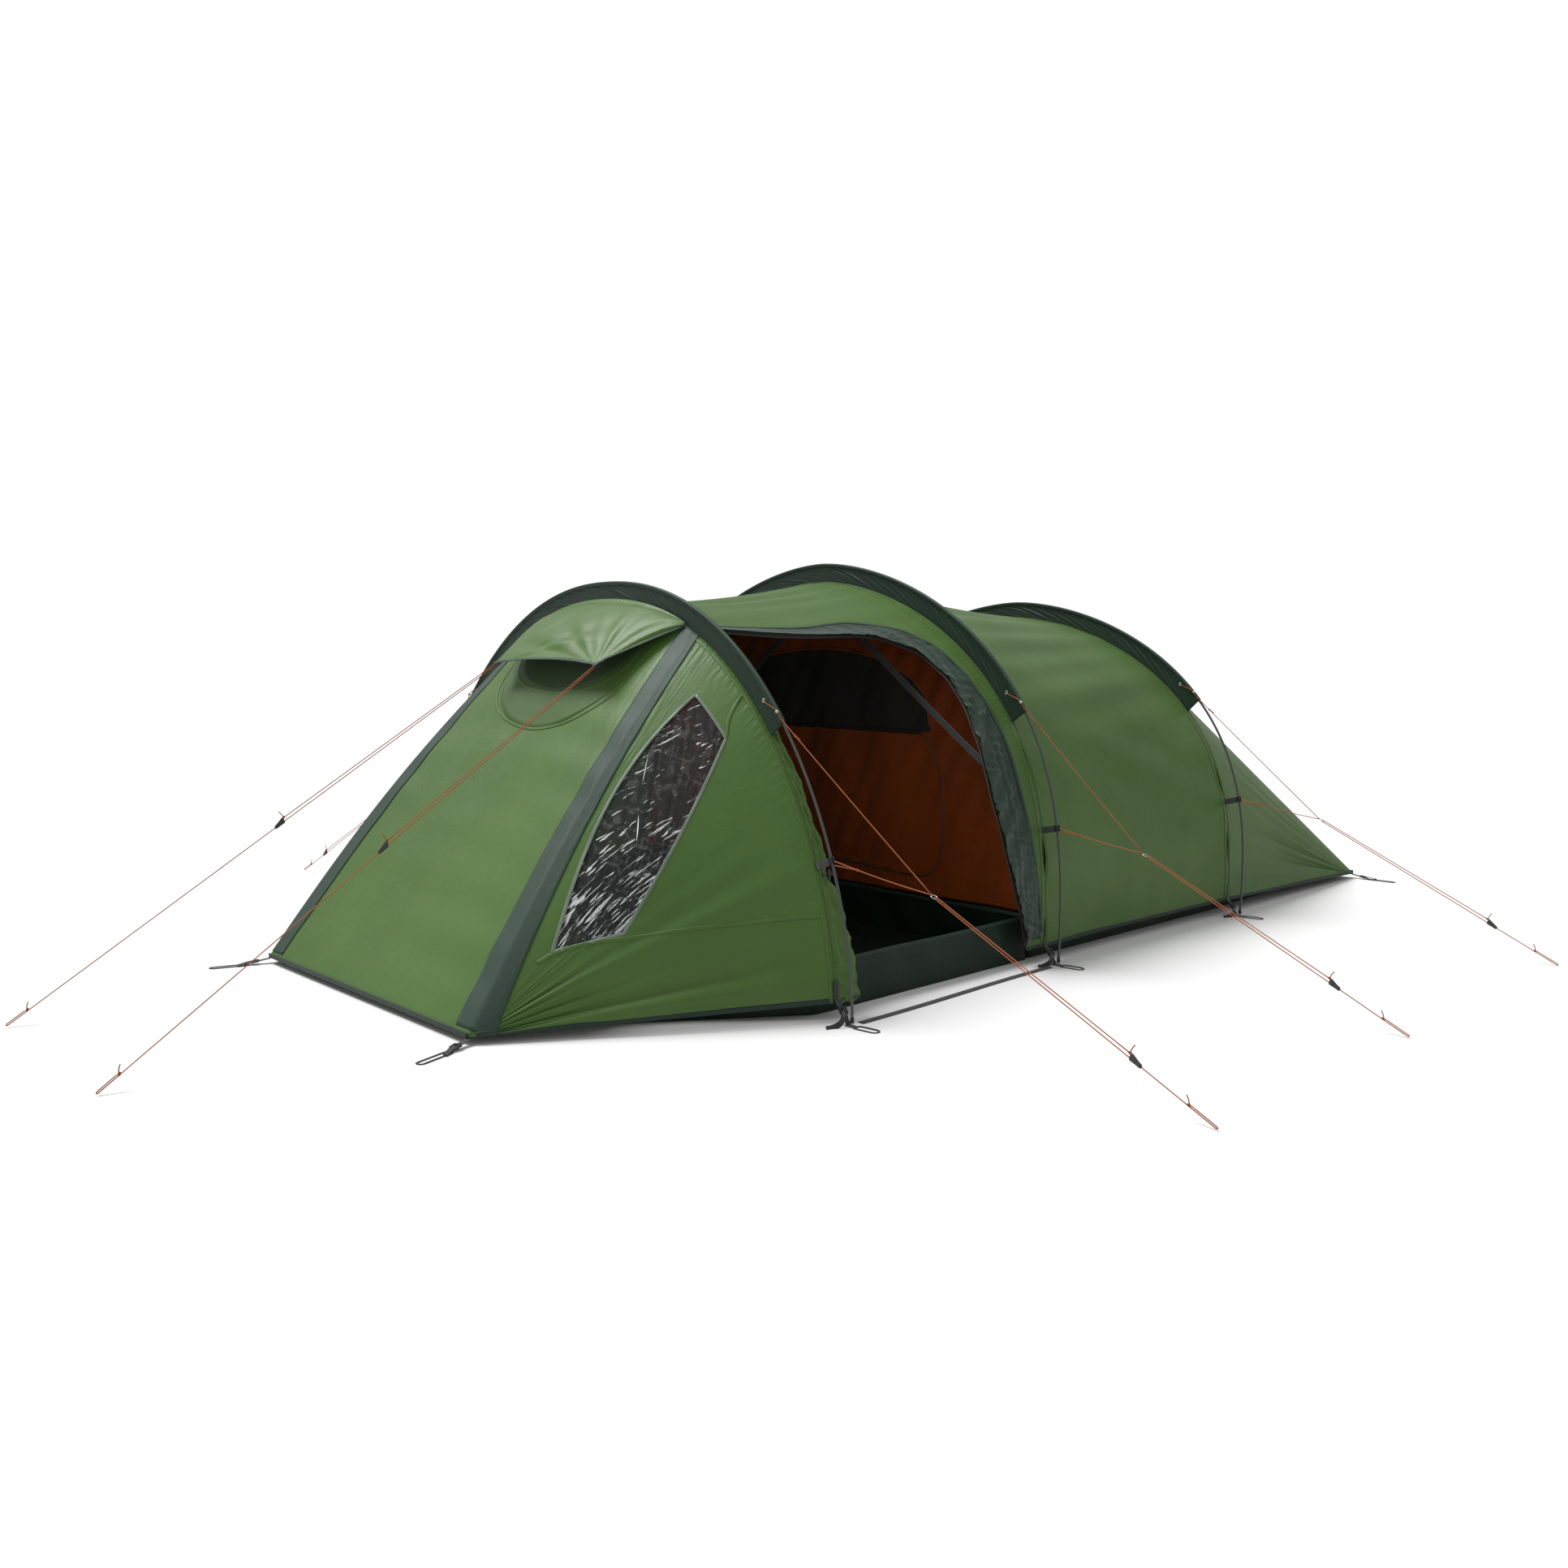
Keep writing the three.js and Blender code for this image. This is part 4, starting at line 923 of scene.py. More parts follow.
front_length = hoop_table("front", FIN)[2]
for side_name, far in (("near", False), ("far", True)):
    b = np.linspace(0.0, 0.985, 130)[None, :]
    t = np.linspace(-1, 1, 17)[:, None]
    reach = np.where(t < 0, t * 0.058 * (1 - b), t * mix(0.026, 0.068, b**1.2))
    a = np.clip(PORCH_STRIP - reach / (front_length * (1 - b)), porch_hem, 0.5)
    a = 1 - a if far else a
    strip(f"porch_corner_strip_{side_name}", porch, a, b, 0.0024, strip_cloth, 0.5 * near(1 - np.abs(t), 0.4))


def seam_line(name, skin, path, width=0.011, lift=0.0014, material=fly_cloth, count=160):
    """A narrow felled seam along a (round, along) path on a skin."""
    path = smooth(path, count)
    here = skin.at(path[:, 0], path[:, 1], lift)
    heading = unit(np.gradient(here, axis=0))
    normal = unit(np.cross(heading, skin.at(path[:, 0], path[:, 1], lift + 0.01) - here))
    t = np.linspace(-1, 1, 5)[:, None, None]
    lifted = skin.at(path[:, 0], path[:, 1], lift + 0.0006) - here
    points = here + t * width / 2 * normal + (1 - t**2) * lifted
    cloth_piece(name, points, material, 1.0, 0.0007)


for name, skin in (("living_front", living), ("living_rear", living), ("bedroom_front", bedroom),
                   ("bedroom_rear", bedroom)):
    b = 0.012 if name.endswith("front") else 0.988
    start = 0.40 if name == "living_front" else 0.0
    seam_line(f"seam_{name}", skin, [(a, b) for a in np.linspace(start, 1, 40)], count=260)
seam_line("seam_porch_hoop", porch, [(a, 0.012) for a in np.linspace(porch_hem, 1 - porch_hem, 40)], count=260)
seam_line("seam_tail_hoop", tail_end, [(a, 0.012) for a in np.linspace(tail_hem, 1 - tail_hem, 40)], count=260)
LOWER_SEAM = [(-1.835, 0.200), (-1.628, 0.256), (-1.400, 0.280), (-1.151, 0.292)]
lower_seam = on_wall(porch, LOWER_SEAM)
upper_seam = on_wall(porch, [WINDOW[1], (-1.180, 0.840), (-1.120, 0.905)])
for side_name, far in (("near", False), ("far", True)):
    for name, path in (("lower", lower_seam), ("upper", upper_seam)):
        seam_line(f"seam_porch_{name}_{side_name}", porch, mirrored(path, far))
for k, (reach, low) in enumerate(((0.080, 0.25), (0.090, 0.345))):
    angle = np.linspace(0, pi, 30)
    path = np.stack([0.5 - reach * np.cos(angle) * 1.05, 0.10 + (low - 0.10) * np.sin(angle) ** 0.8], axis=-1)
    seam_line(f"seam_vent_{k + 1}", porch, path, 0.0102, 0.0018)

# The vent's mesh, in a fine cell pattern. Its dark green is partly the mesh's own colour and partly painted shade from
# the hood above it.
vent_mesh, tree, bsdf = shader("vent_mesh", (0.035, 0.060, 0.022), 0.8)
holes = put(tree, "ShaderNodeTexVoronoi", Vector=stretched(tree, 1, 1, 1), Scale=900.0)
tree.links.new(tinted(tree, ramp(tree, holes.outputs[0], 0.1, 0.5), (0.060, 0.112, 0.034), (0.034, 0.064, 0.020)),
               bsdf.inputs["Base Color"])
vent_cover = fabric("vent_cover", (0.076, 0.150, 0.036), (0.060, 0.124, 0.028), 0.5, through=0.05, sheen=0.05)


def vent_patch(name, half, low, lift, material):
    """A half-round patch on the end panel, under the hood."""
    angle = np.linspace(0, pi, 60)
    rim = np.stack([0.5 - half * np.cos(angle), 0.05 + (low - 0.05) * np.sin(angle) ** 0.8], axis=-1)
    core = np.stack([0.5 - half * np.cos(angle), np.full(60, 0.03)], axis=-1)
    fan = mix(core[None], rim[None], np.linspace(0, 1, 24)[:, None, None])
    strip(name, porch, fan[..., 0], fan[..., 1], lift, material)


vent_patch("porch_vent_cover", 0.092, 0.345, 0.0013, vent_cover)
vent_patch("porch_vent_mesh", 0.082, 0.245, 0.0026, vent_mesh)


HEM_BAND = 0.015


def hem_band(name, skin, a, b):
    """A doubled hem binding along an edge of a skin: a flat loop of cloth round the edge."""
    edge = skin.at(a, b)
    outwards = unit((edge - skin.middle) * (1, 1, 0))
    t = np.linspace(-1, 1, 9)[:, None, None]
    points = edge + UP * (HEM_BAND * (1 - np.abs(t)) - 0.002) + outwards * 0.0016 * rounded(t, 0.3)
    points = points - outwards * 0.0005
    cloth_piece(name, points, hem_cloth, 0.6)


line = np.linspace(0, 1, 160)
for side_name, a in (("near", 0.0), ("far", 1.0)):
    if side_name == "far":
        hem_band("hem_living_far", living, np.full(160, a), line)
    hem_band(f"hem_bedroom_{side_name}", bedroom, np.full(160, a), line)
    hem_band(f"hem_porch_{side_name}", porch, np.full(160, mix(porch_hem, 1 - porch_hem, a)), line)
    hem_band(f"hem_tail_{side_name}", tail_end, np.full(160, mix(tail_hem, 1 - tail_hem, a)), line)
hem_band("hem_living_near", living, np.full(40, 0.0), np.linspace(door_edge[-1, 1] + 0.005, 1, 40))
hem_band("hem_porch_end", porch, np.linspace(PORCH_STRIP, 1 - PORCH_STRIP, 160), np.full(160, 1.0))
hem_band("hem_tail_end", tail_end, np.linspace(TAIL_STRIP, 1 - TAIL_STRIP, 160), np.full(160, 1.0))

# ---- Windows ----
# Soft clear vinyl, sewn in under a thin pale edge, with slanting creases and a faint haze from folding. Its bright
# streaks are painted highlights: white, nearly opaque streaks along the creases that stand in for reflections of the
# light, with more of them towards the bottom.

vinyl, tree, bsdf = shader("window_vinyl", (0.86, 0.90, 0.88), 0.10, Coat_Weight=0.6, Coat_Roughness=0.04)
slanted = put(tree, "ShaderNodeMapping", {"vector_type": "TEXTURE"}, Vector=stretched(tree, 1, 1),
              Rotation=(0, 0, radians(29)), Scale=(0.009, 0.075, 1))
creases = noise(tree, slanted.outputs[0], 1.0, 5.0, 0.9)
crumple = noise(tree, stretched(tree, 1, 1), 26.0, 4.0, 1.6)
clouds = noise(tree, stretched(tree, 1, 1), 5.5, 2.0, 0.4)
# Painted highlights: where the creases, the clouds and a rise towards the bottom pass a threshold, the white vinyl
# turns nearly opaque through Alpha.
lower = ramp(tree, axes(tree, "Object")[2], 0.72, 0.34, 0.0, 0.09)
painted_highlight_field = sums(tree, "ADD", lower, sums(tree, "MULTIPLY_ADD", clouds, 0.30, creases))
painted_highlight = ramp(tree, painted_highlight_field, 0.80, 0.84)
haze_and_painted_highlight = sums(tree, "MULTIPLY_ADD", painted_highlight, 0.85, ramp(tree, crumple, 0.5, 0.8, 0.02, 0.08))
tree.links.new(haze_and_painted_highlight, bsdf.inputs["Alpha"])
raised(tree, bsdf, sums(tree, "MULTIPLY_ADD", creases, 0.0030, sums(tree, "MULTIPLY", crumple, 0.0025)))
edge_material = fabric("window_edge", (0.20, 0.25, 0.20), (0.14, 0.19, 0.14), 0.4, 0.4)


def pane_grid(grow, count):
    """A four-sided patch on the porch's side between the window's corners, let out by a distance."""
    corners = np.array(WINDOW)
    corners = corners + grow * unit(corners - corners.mean(0))
    s, t = np.meshgrid(np.linspace(0, 1, count), np.linspace(0, 1, count * 2), indexing="ij")
    s, t = s[..., None], t[..., None]
    places = mix(mix(corners[0], corners[1], s), mix(corners[3], corners[2], s), t)
    places = places + WINDOW_BOW * (1 - s) * 4 * t * (1 - t)
    return on_wall(porch, places.reshape(-1, 2)).reshape(places.shape)


pane = pane_grid(0.014, 50)
loop = window_outline(0.002)
for side_name, far in (("door_side", False), ("far_side", True)):
    places = mirrored(pane, far)
    rough = 0.0012 * folds(places[..., 1] * 26 + 60 * places[..., 0], places[..., 0] * 20, 51)
    points = porch.at(places[..., 0], places[..., 1], -0.0032 + rough)
    cloth_piece(f"window_{side_name}_pane", points, vinyl, thickness=0.0006,
                node=f"window_{side_name}")
    ring = mirrored(np.concatenate([loop, loop[:1]]), far)
    seam_line(f"window_{side_name}_edge", porch, ring, 0.0102, 0.0012, edge_material, 400)

# ---- Porch hood ----
# A cloth hood shades the porch's mesh vent. It is sewn in under the front sleeve, and two webbing tabs on its edge
# are pulled forwards by the front guy lines, so folds fan out from them.

HOOD_HALF = 0.118
HOOD_TIPS = (1 / 3, 2 / 3)


def hood_base(a, b):
    """Lines from the front hoop to the hood's edge, which curves up between the places where it is held."""
    root = hoop_at("front", mix(0.5 + HOOD_HALF, 0.5 - HOOD_HALF, a), FIN - 0.012) + np.array([0, -0.010, 0])
    end = hoop_at("front", 0.5 - HOOD_HALF, FIN - 0.012) + (0, -0.012, -0.010)
    held = np.stack([end * FLIP, HOOD_TIP * FLIP, HOOD_TIP, end])
    edge = np.stack([np.interp(a, (0, *HOOD_TIPS, 1), held[:, k]) for k in range(3)], axis=-1)
    t = np.clip(a, 0, 1) * 3 % 1
    rise = np.where((a > HOOD_TIPS[0]) & (a < HOOD_TIPS[1]), 0.014, 0.006) * 4 * t * (1 - t)
    return mix(root, edge + np.array([0, 0, 1.0]) * rise[..., None], b[..., None])


def hood_height(a, b):
    """Folds that turn about each tab, and a soft belly between the root and the edge."""
    belly = 0.016 * np.sin(pi * b) * np.sin(pi * np.clip(a, 0, 1)) ** 0.5
    creases = 0.0
    for seed, tip in enumerate(HOOD_TIPS):
        angle = np.arctan2((a - tip) * 2.4, 1.02 - b)
        reach = np.hypot((a - tip) * 2.4, 1 - b)
        creases = creases + 0.0017 * folds(angle * 2.3, reach * 0.3, 61 + seed) * near(reach - 0.50, 0.42)
    return (belly + creases) * np.clip(b * 8, 0, 1)


hood = Skin("porch_hood_cloth", hood_base, hood_height, (0, -1.15, 0.6))
columns = np.linspace(0, 1, 70)
cloth_piece(hood.cloth, hood.at(np.linspace(0, 1, 181)[:, None], columns), hood_cloth,
            near(columns, 0.06) + near(1 - columns, 0.04), LIGHT_CLOTH, "porch_hood")
seam_line("porch_hood_binding", hood, [(a, 0.992) for a in np.linspace(0.004, 0.996, 61)], 0.013, 0.0010,
          strip_cloth, 200)

webbing_material, tree, bsdf = shader("webbing", (0.020, 0.021, 0.022), 0.7, Sheen_Weight=0.3)
ribs = axes(tree)
rib = sums(tree, "SINE", sums(tree, "MULTIPLY", ribs[1], 2 * pi / 0.0022))
rung = sums(tree, "SINE", sums(tree, "MULTIPLY", ribs[0], 2 * pi / 0.0016))
fleck = noise(tree, stretched(tree, 1, 1), 420.0, 2.0)
tree.links.new(tinted(tree, ramp(tree, fleck, 0.35, 0.7), (0.012, 0.013, 0.014), (0.042, 0.044, 0.046)),
               bsdf.inputs["Base Color"])
raised(tree, bsdf, sums(tree, "MULTIPLY", sums(tree, "MULTIPLY_ADD", rung, 0.3, rib), 0.00022))


def ribbon(name, path, width, face, node=None, thickness=0.0022):
    """A length of webbing along a path, with its flat side towards a direction."""
    rod(name, path, flat_profile(width, thickness), webbing_material, face, node=node)


for side_name, side in (("near", 1), ("far", -1)):
    flip = np.array([side, 1, 1])
    steps = [(0.0, 0.034, 0.010), (0, 0.004, 0.003), (0, -0.008, -0.004), (0, -0.004, -0.010), (0, 0.014, -0.002)]
    tip_tab = smooth(HOOD_TIP + np.array(steps), 24)
    ribbon(f"porch_hood_tab_{side_name}", tip_tab * flip, 0.018, (0, 0.1, 1))

# ---- Side door ----
# The door's zip runs under a crinkled rain flap along the top and the rear edge of the opening. The door itself is
# drawn forwards and held in pleats along the front hoop by a toggle.

FLAP_INNER = [(-1.040, 1.097), (-0.653, 1.097), *DOOR_REAR]
FLAP_OUTER = [(-1.040, 1.113), (-0.653, 1.122), (-0.420, 1.138), (-0.270, 1.108), (-0.200, 1.040), (-0.178, 0.898),
              (-0.182, 0.720), (-0.192, 0.540), (-0.180, 0.332), (-0.164, 0.086)]
s = np.linspace(0, 1, 260)[:, None]
t = np.linspace(0, 1, 22)[None, :]
inner_line, outer_line = smooth(FLAP_INNER, 260), smooth(FLAP_OUTER, 260)
places = mix(inner_line[:, None], outer_line[:, None], t[..., None])
flap_at = on_wall(living, places.reshape(-1, 2)).reshape(places.shape)
crease = 0.0042 * folds(s * 19 + 0.9 * t, t * 0.8, 71) + 0.0026 * folds(s * 44 - 1.5 * t, t * 1.4, 72)
crease = np.maximum(crease, -0.0025) * np.clip((1 - t) * 3, 0, 1) * np.clip(s * 3 - 0.6, 0.12, 1)
lift = 0.0060 - 0.0025 * t + 0.0050 * (1 - t) ** 1.5 + crease
points = living.at(flap_at[..., 0], flap_at[..., 1], lift)
cloth_piece("door_rain_flap_cloth", points, flap_cloth, near(t - 0.92, 0.14), 0.0009,
            "door_rain_flap")
seam_line("door_rain_flap_seam", living, flap_at[::8, -1], 0.012, 0.0045, strip_cloth, 260)

zip_material, tree, bsdf = shader("zip_coil", (0.016, 0.017, 0.018), 0.5)
teeth = axes(tree)[0]
tooth = sums(tree, "SINE", sums(tree, "MULTIPLY", teeth, 2 * pi / 0.0024))
# Painted light and shade: the coil is lighter on each tooth's crest and darker between the teeth, following the same
# wave as its bump.
tree.links.new(tinted(tree, ramp(tree, tooth, -0.6, 0.6), (0.008, 0.008, 0.009), (0.05, 0.052, 0.055)),
               bsdf.inputs["Base Color"])
raised(tree, bsdf, sums(tree, "MULTIPLY", tooth, 0.0004))
zip_path = door_edge[30:]
t = np.linspace(0, 1, 6)[None]
strip("door_zip_tape", living, mix(zip_path[:, :1], zip_path[:, :1] + 0.004, t),
      mix(zip_path[:, 1:], zip_path[:, 1:] + 0.008, t), 0.0012, band_cloth)
rod("door_zip_coil", living.at(zip_path[:, 0], zip_path[:, 1], -0.0005), round_profile(0.0022, 8), zip_material,
    (1, 0.1, 0.1))

GATHER_TOP = 0.870
TIE = 0.403
v = np.linspace(0, 1, 170)[:, None]
u = np.linspace(0, 1, 90)[None, :]
z = mix(0.047, GATHER_TOP, v)
hem_share = np.interp(z[:, 0], hoop_table("front", FIN)[0][:2000, 2], hoop_table("front", FIN)[1][:2000])
spine = hoop_at("front", hem_share, FIN)[:, None]
width = mix(0.100, 0.032, np.clip(v * 1.7, 0, 1)) * (1 - 0.45 * near(z - TIE, 0.030))
pleat = np.sin(2 * pi * (1.6 * u + 0.22 * folds(v * 3.2, 0 * v, 82)))
depth = mix(0.0055, 0.0036, np.clip(v * 2.2, 0, 1)) * (1 - 0.5 * near(z - TIE, 0.025)) * np.clip((1.02 - v) * 9, 0, 1)
crumple = 0.0022 * folds(v * 13 + 1.2 * u, u * 1.6, 83) + 0.0006 * folds(v * 34, u * 4, 84)
offset = np.stack(np.broadcast_arrays(-0.004 + depth * pleat + crumple, 0.005 + width * u + 0.3 * crumple, 0 * v * u),
                  axis=-1)
points = spine + offset
cloth_piece("door_gathered_cloth", points, fly_cloth, 0.35, FLY_THICK, "door_gathered")
rim = points[:5][::4].mean(0) + (0, 0, -0.001)
door_hem = rod("door_gathered_hem", rim, flat_profile(0.010, 0.0022), hem_cloth, (1, 0, 0))
paint(door_hem, "gather", np.zeros(len(door_hem.data.vertices)))

moulded, tree, bsdf = shader("moulded_black", (0.014, 0.014, 0.015), 0.38)
speck = noise(tree, stretched(tree, 1, 1, 1, "Object"), 800.0, 2.0)
tree.links.new(ramp(tree, speck, 0.3, 0.7, 0.30, 0.46), bsdf.inputs["Roughness"])
raised(tree, bsdf, sums(tree, "MULTIPLY", speck, 0.0002))

TOGGLE_HALF = 0.017
TOGGLE_RADIUS = 0.0045
toggle_at = np.mean(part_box("door_toggle"), axis=0)
t = np.linspace(-1, 1, 33)
barrel = np.sqrt(np.clip(1 - np.abs(t) ** 5, 0.06, 1)) * (1 - 0.42 * near(t, 0.16))
rod("door_toggle_barrel", toggle_at + TOGGLE_HALF * t[:, None] * UP,
    round_profile(TOGGLE_RADIUS, 16)[None] * barrel[:, None, None], moulded, (0, 1, 0), "door_toggle",
    "door_toggle")
angle = np.linspace(0, 2 * pi, 60)[:, None]
spot = hoop_at("front", hoop_share("front", TIE, FIN), FIN) + (0.0, 0.032, 0)
loop_path = spot + 0.015 * np.cos(angle) * np.array([1.0, 0, 0]) + 0.020 * np.sin(angle) * np.array([0, 1.0, 0])
rod("door_tie_loop", loop_path, round_profile(0.0014, 8), zip_material)


def slider(name, along, outwards):
    """A zip slider: a waisted body, a bridge over it and a long flat pull tab."""
    along, outwards = unit(np.array(along, float)), unit(np.array(outwards, float))
    centre = np.mean(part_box(name), axis=0)
    t = np.linspace(-1, 1, 21)[:, None]
    ends = np.sqrt(np.clip(1 - np.abs(t) ** 4, 0.05, 1))
    shell = flat_profile(0.011, 0.0045)[None] * np.stack([ends * (1 - 0.25 * near(t - 0.1, 0.3)), ends], axis=-1)
    rod(f"{name}_shell", centre + 0.008 * t * along + 0.006 * along, shell, moulded, outwards, name, name)
    arch = 0.006 * along + 0.0065 * t * along + (0.0022 + 0.0030 * (1 - t**2)) * outwards
    rod(f"{name}_bridge", centre + arch, flat_profile(0.0032, 0.0012), moulded, outwards, name)
    pull = np.linspace(0, 1, 25)[:, None]
    taper = np.stack([0.55 + 0.45 * np.sin(pi * np.clip(pull * 1.1, 0, 1)) ** 0.5, np.ones_like(pull)], axis=-1)
    hang = centre + (0.004 - 0.024 * pull) * along + 0.0036 * outwards
    rod(f"{name}_pull", hang, flat_profile(0.0064, 0.0018)[None] * taper, webbing_material, outwards, name)


slider("door_zip_slider", (-0.021, -0.062, 0.246), (1, 0, 0.1))

# ---- Groundsheets ----
# Dark green coated sheeting, heavier than the fly: a loose one in the porch and one sewn to the inner tent. Each is a
# shallow tray, whose floor lies in soft wrinkles and whose sides stand up to a bound edge.

SILL = 0.148
PORCH_PLAN = [(0.548, -1.898), (1.060, -1.150), (1.060, -0.150)]
INNER_PLAN = [(1.052, -0.140), (1.052, 1.030), (0.985, 2.008)]


def binding(name, rim):
    """A folded tape along the top of a tray's side."""
    outwards = unit((rim - rim.mean(0)) * (1, 1, 0))
    t = np.linspace(-1, 1, 9)[:, None, None]
    points = rim + UP * (0.010 * (1 - np.abs(t)) - 0.008) + outwards * 0.0016 * np.sign(t)
    piece = thicken(surface(name, points), 0.0007)
    paint(piece, "gather", np.full(points.shape[:2], 0.3))
    finish(piece, hem_cloth)


def tray(name, half, seed):
    """A sheet in rings round its centre, out to the plan's outline, round a soft bend, and up the sides."""
    corners = np.array(half + [(-x, y) for x, y in half[::-1]])
    closed = np.concatenate([corners, corners[:1]])
    along = np.concatenate([[0], np.cumsum(np.linalg.norm(np.diff(closed, axis=0), axis=1))])
    at = np.linspace(0, along[-1], 361)[:-1]
    outline = np.stack([np.interp(at, along, closed[:, k]) for k in range(2)], axis=-1)
    centre = corners.mean(0)
    t = np.concatenate([np.linspace(0.01, 0.985, 64), np.full(3, 1.0), np.ones(24)])
    rise = np.concatenate([np.zeros(64), [0.002, 0.006, 0.012], np.linspace(0.018, 1, 24) * SILL])
    plan = centre + (outline[:, None] - centre) * t[None, :, None] * 0.996
    x, y = plan[..., 0], plan[..., 1]
    floor = rise < 0.001
    wrinkle = 0.0045 * folds(x * 3.1 + 0.8 * y, y * 2.0, seed) + 0.0030 * folds(y * 5.2, x * 3.0, seed + 1)
    wrinkle = wrinkle * np.clip((1 - t) * 8, 0, 1)
    height = np.where(floor, np.maximum(wrinkle, 0) + 0.0012, rise)
    standing = np.clip(rise / SILL, 0, 1)
    wave = 0.0045 * folds(at[:, None] * 3.4, standing * 0.6, seed + 2) * np.sin(pi * np.clip(standing, 0, 1) ** 0.8)
    lean = unit(outline - centre)
    height = height - 0.008 * standing * np.abs(folds(at[:, None] * 0.9, 0 * standing, seed + 3)) * 0.5
    points = np.stack([x + (wave - 0.004 * standing) * lean[:, :1], y + (wave - 0.004 * standing) * lean[:, 1:],
                       height], axis=-1)
    points = points.transpose(1, 0, 2)
    piece = surface(f"{name}_sheet", points, wrap=True)
    paint(piece, "gather", np.broadcast_to(near(standing - 1, 0.1)[:, None] * 0.4, points.shape[:2]))
    hub = bmesh.new()
    hub.from_mesh(piece.data)
    hub.verts.ensure_lookup_table()
    bmesh.ops.contextual_create(hub, geom=[hub.verts[i] for i in range(points.shape[1])])
    hub.to_mesh(piece.data)
    hub.free()
    finish(thicken(piece, 0.0014), ground_cloth, node=name)
    binding(f"{name}_binding", np.concatenate([points[-1], points[-1][:1]]))


tray("porch_groundsheet", PORCH_PLAN, 91)
tray("inner_groundsheet", INNER_PLAN, 95)

# ---- Inner tent ----
# Thin breathable orange cloth, hung under the fly from the middle hoop back: a canopy over the bedroom and the tail,
# and a front wall with a half-round mesh panel over its door. Dark bands brace the living bay in front of it.

INNER_INSET = FIN + 0.058
INNER_LOW = SILL + 0.006
WALL_BACK = 0.010
HOOPS["inner"] = {**HOOPS["middle"], "foot": HOOPS["middle"]["foot"] + 0.020}
canopy_tail, canopy_hem = end_section("rear", TAIL_STRIP, (0.950, 1.978, INNER_LOW), INNER_INSET, INNER_LOW, 0.0)
canopy_bay = bay("inner", "rear", INNER_INSET, INNER_LOW)


def canopy_base(a, b):
    """The first half runs along the bedroom, and the second slopes down to the tail's floor."""
    front = canopy_bay((a - canopy_hem) / (1 - 2 * canopy_hem), np.clip(b * 2, 0, 1))
    return np.where((b > 0.5)[..., None], canopy_tail(a, np.clip(b * 2 - 1, 0, 1.01)), front)


def canopy_height(a, b):
    """The cloth hangs loosely from its hooks, in long folds and small drapes."""
    drape = -0.016 * np.abs(np.sin(2 * pi * b)) + 0.006 * folds(a * 11, b * 2.2, 101) * np.sin(pi * b) ** 0.5
    return drape * np.clip((1 - b) * 10, 0, 1)


canopy = Skin("inner_canopy_cloth", canopy_base, canopy_height, (0, 0.9, 0.1))
rows = np.linspace(canopy_hem, 1 - canopy_hem, 190)[:, None]
columns = np.concatenate([np.linspace(0.004, 0.498, 60), np.linspace(0.502, 1, 60)])
cloth_piece(canopy.cloth, canopy.at(rows, columns), inner_cloth,
            near(columns - 0.5, 0.02) + near(columns, 0.03), LIGHT_CLOTH, "inner_canopy")

MESH_HALF = 0.575
MESH_LOW = 0.735
MESH_TOP = 1.035


def wall_base(x, z):
    """The middle hoop's leaning plane."""
    return np.stack([x, HOOPS["inner"]["foot"] - WALL_BACK + HOOPS["middle"]["lean"] * z, z], axis=-1)


def wall_height(x, z):
    """Slack cloth: drapes that hang from the arch, and wrinkles that lean towards the door's corners."""
    drape = 0.008 * folds(x * 2.3 + 0.5 * z, z * 0.8, 111) + 0.0026 * folds(x * 6 - 3 * z, z * 2, 112)
    foot = 0.0035 * folds(x * 7, z * 1.5, 113) * near(z - INNER_LOW, 0.10)
    return (drape + foot) * np.clip((1.22 - z) * 6, 0.1, 1)


wall = Skin("inner_front_wall_cloth", wall_base, wall_height, (0, 0.6, 0.6))
arch_line = hoop_table("middle", INNER_INSET + 0.006)[0][:2001]
z = np.linspace(INNER_LOW, arch_line[-1, 2] - 0.002, 150)
half = np.interp(z, arch_line[:, 2], arch_line[:, 0])
grid = np.stack(np.broadcast_arrays(half[:, None] * np.linspace(-1, 1, 240), z[:, None]), axis=-1).copy()
angle = np.linspace(0, pi, 220)
arc = np.stack([MESH_HALF * np.cos(angle), MESH_LOW + (MESH_TOP - MESH_LOW) * np.sin(angle) ** 0.8], axis=-1)
base_line = np.stack([np.linspace(-MESH_HALF, MESH_HALF, 120)[1:-1], np.full(118, MESH_LOW)], axis=-1)
gone = hollow(grid, np.concatenate([arc, base_line]), (1.0, 1.0))
cloth_piece(wall.cloth, wall.at(grid[..., 0], grid[..., 1]), inner_cloth,
            near(z[:, None] - INNER_LOW, 0.03), LIGHT_CLOTH, "inner_front_wall", gone)

net_material, tree, bsdf = shader("midge_net", (0.012, 0.011, 0.009), 0.9)
cells = noise(tree, stretched(tree, 1, 1), 700.0, 1.0)
tree.links.new(tinted(tree, ramp(tree, cells, 0.4, 0.6), (0.010, 0.009, 0.006), (0.046, 0.040, 0.026)),
               bsdf.inputs["Base Color"])
raised(tree, bsdf, sums(tree, "MULTIPLY", cells, 0.0004))
rise = np.linspace(0.0, 0.997, 60)
half = MESH_HALF * np.sqrt(1 - rise**2.5) + 0.004
z = MESH_LOW - 0.004 + (MESH_TOP - MESH_LOW + 0.006) * rise
points = wall.at(half[:, None] * np.linspace(-1, 1, 150), z[:, None], -0.0018)
cloth_piece("inner_mesh_panel_net", points, net_material, thickness=0.0005,
            node="inner_mesh_panel")
seam_line("inner_mesh_arch_binding", wall, arc[2:-2:6], 0.012, 0.0016, inner_cloth, 240)
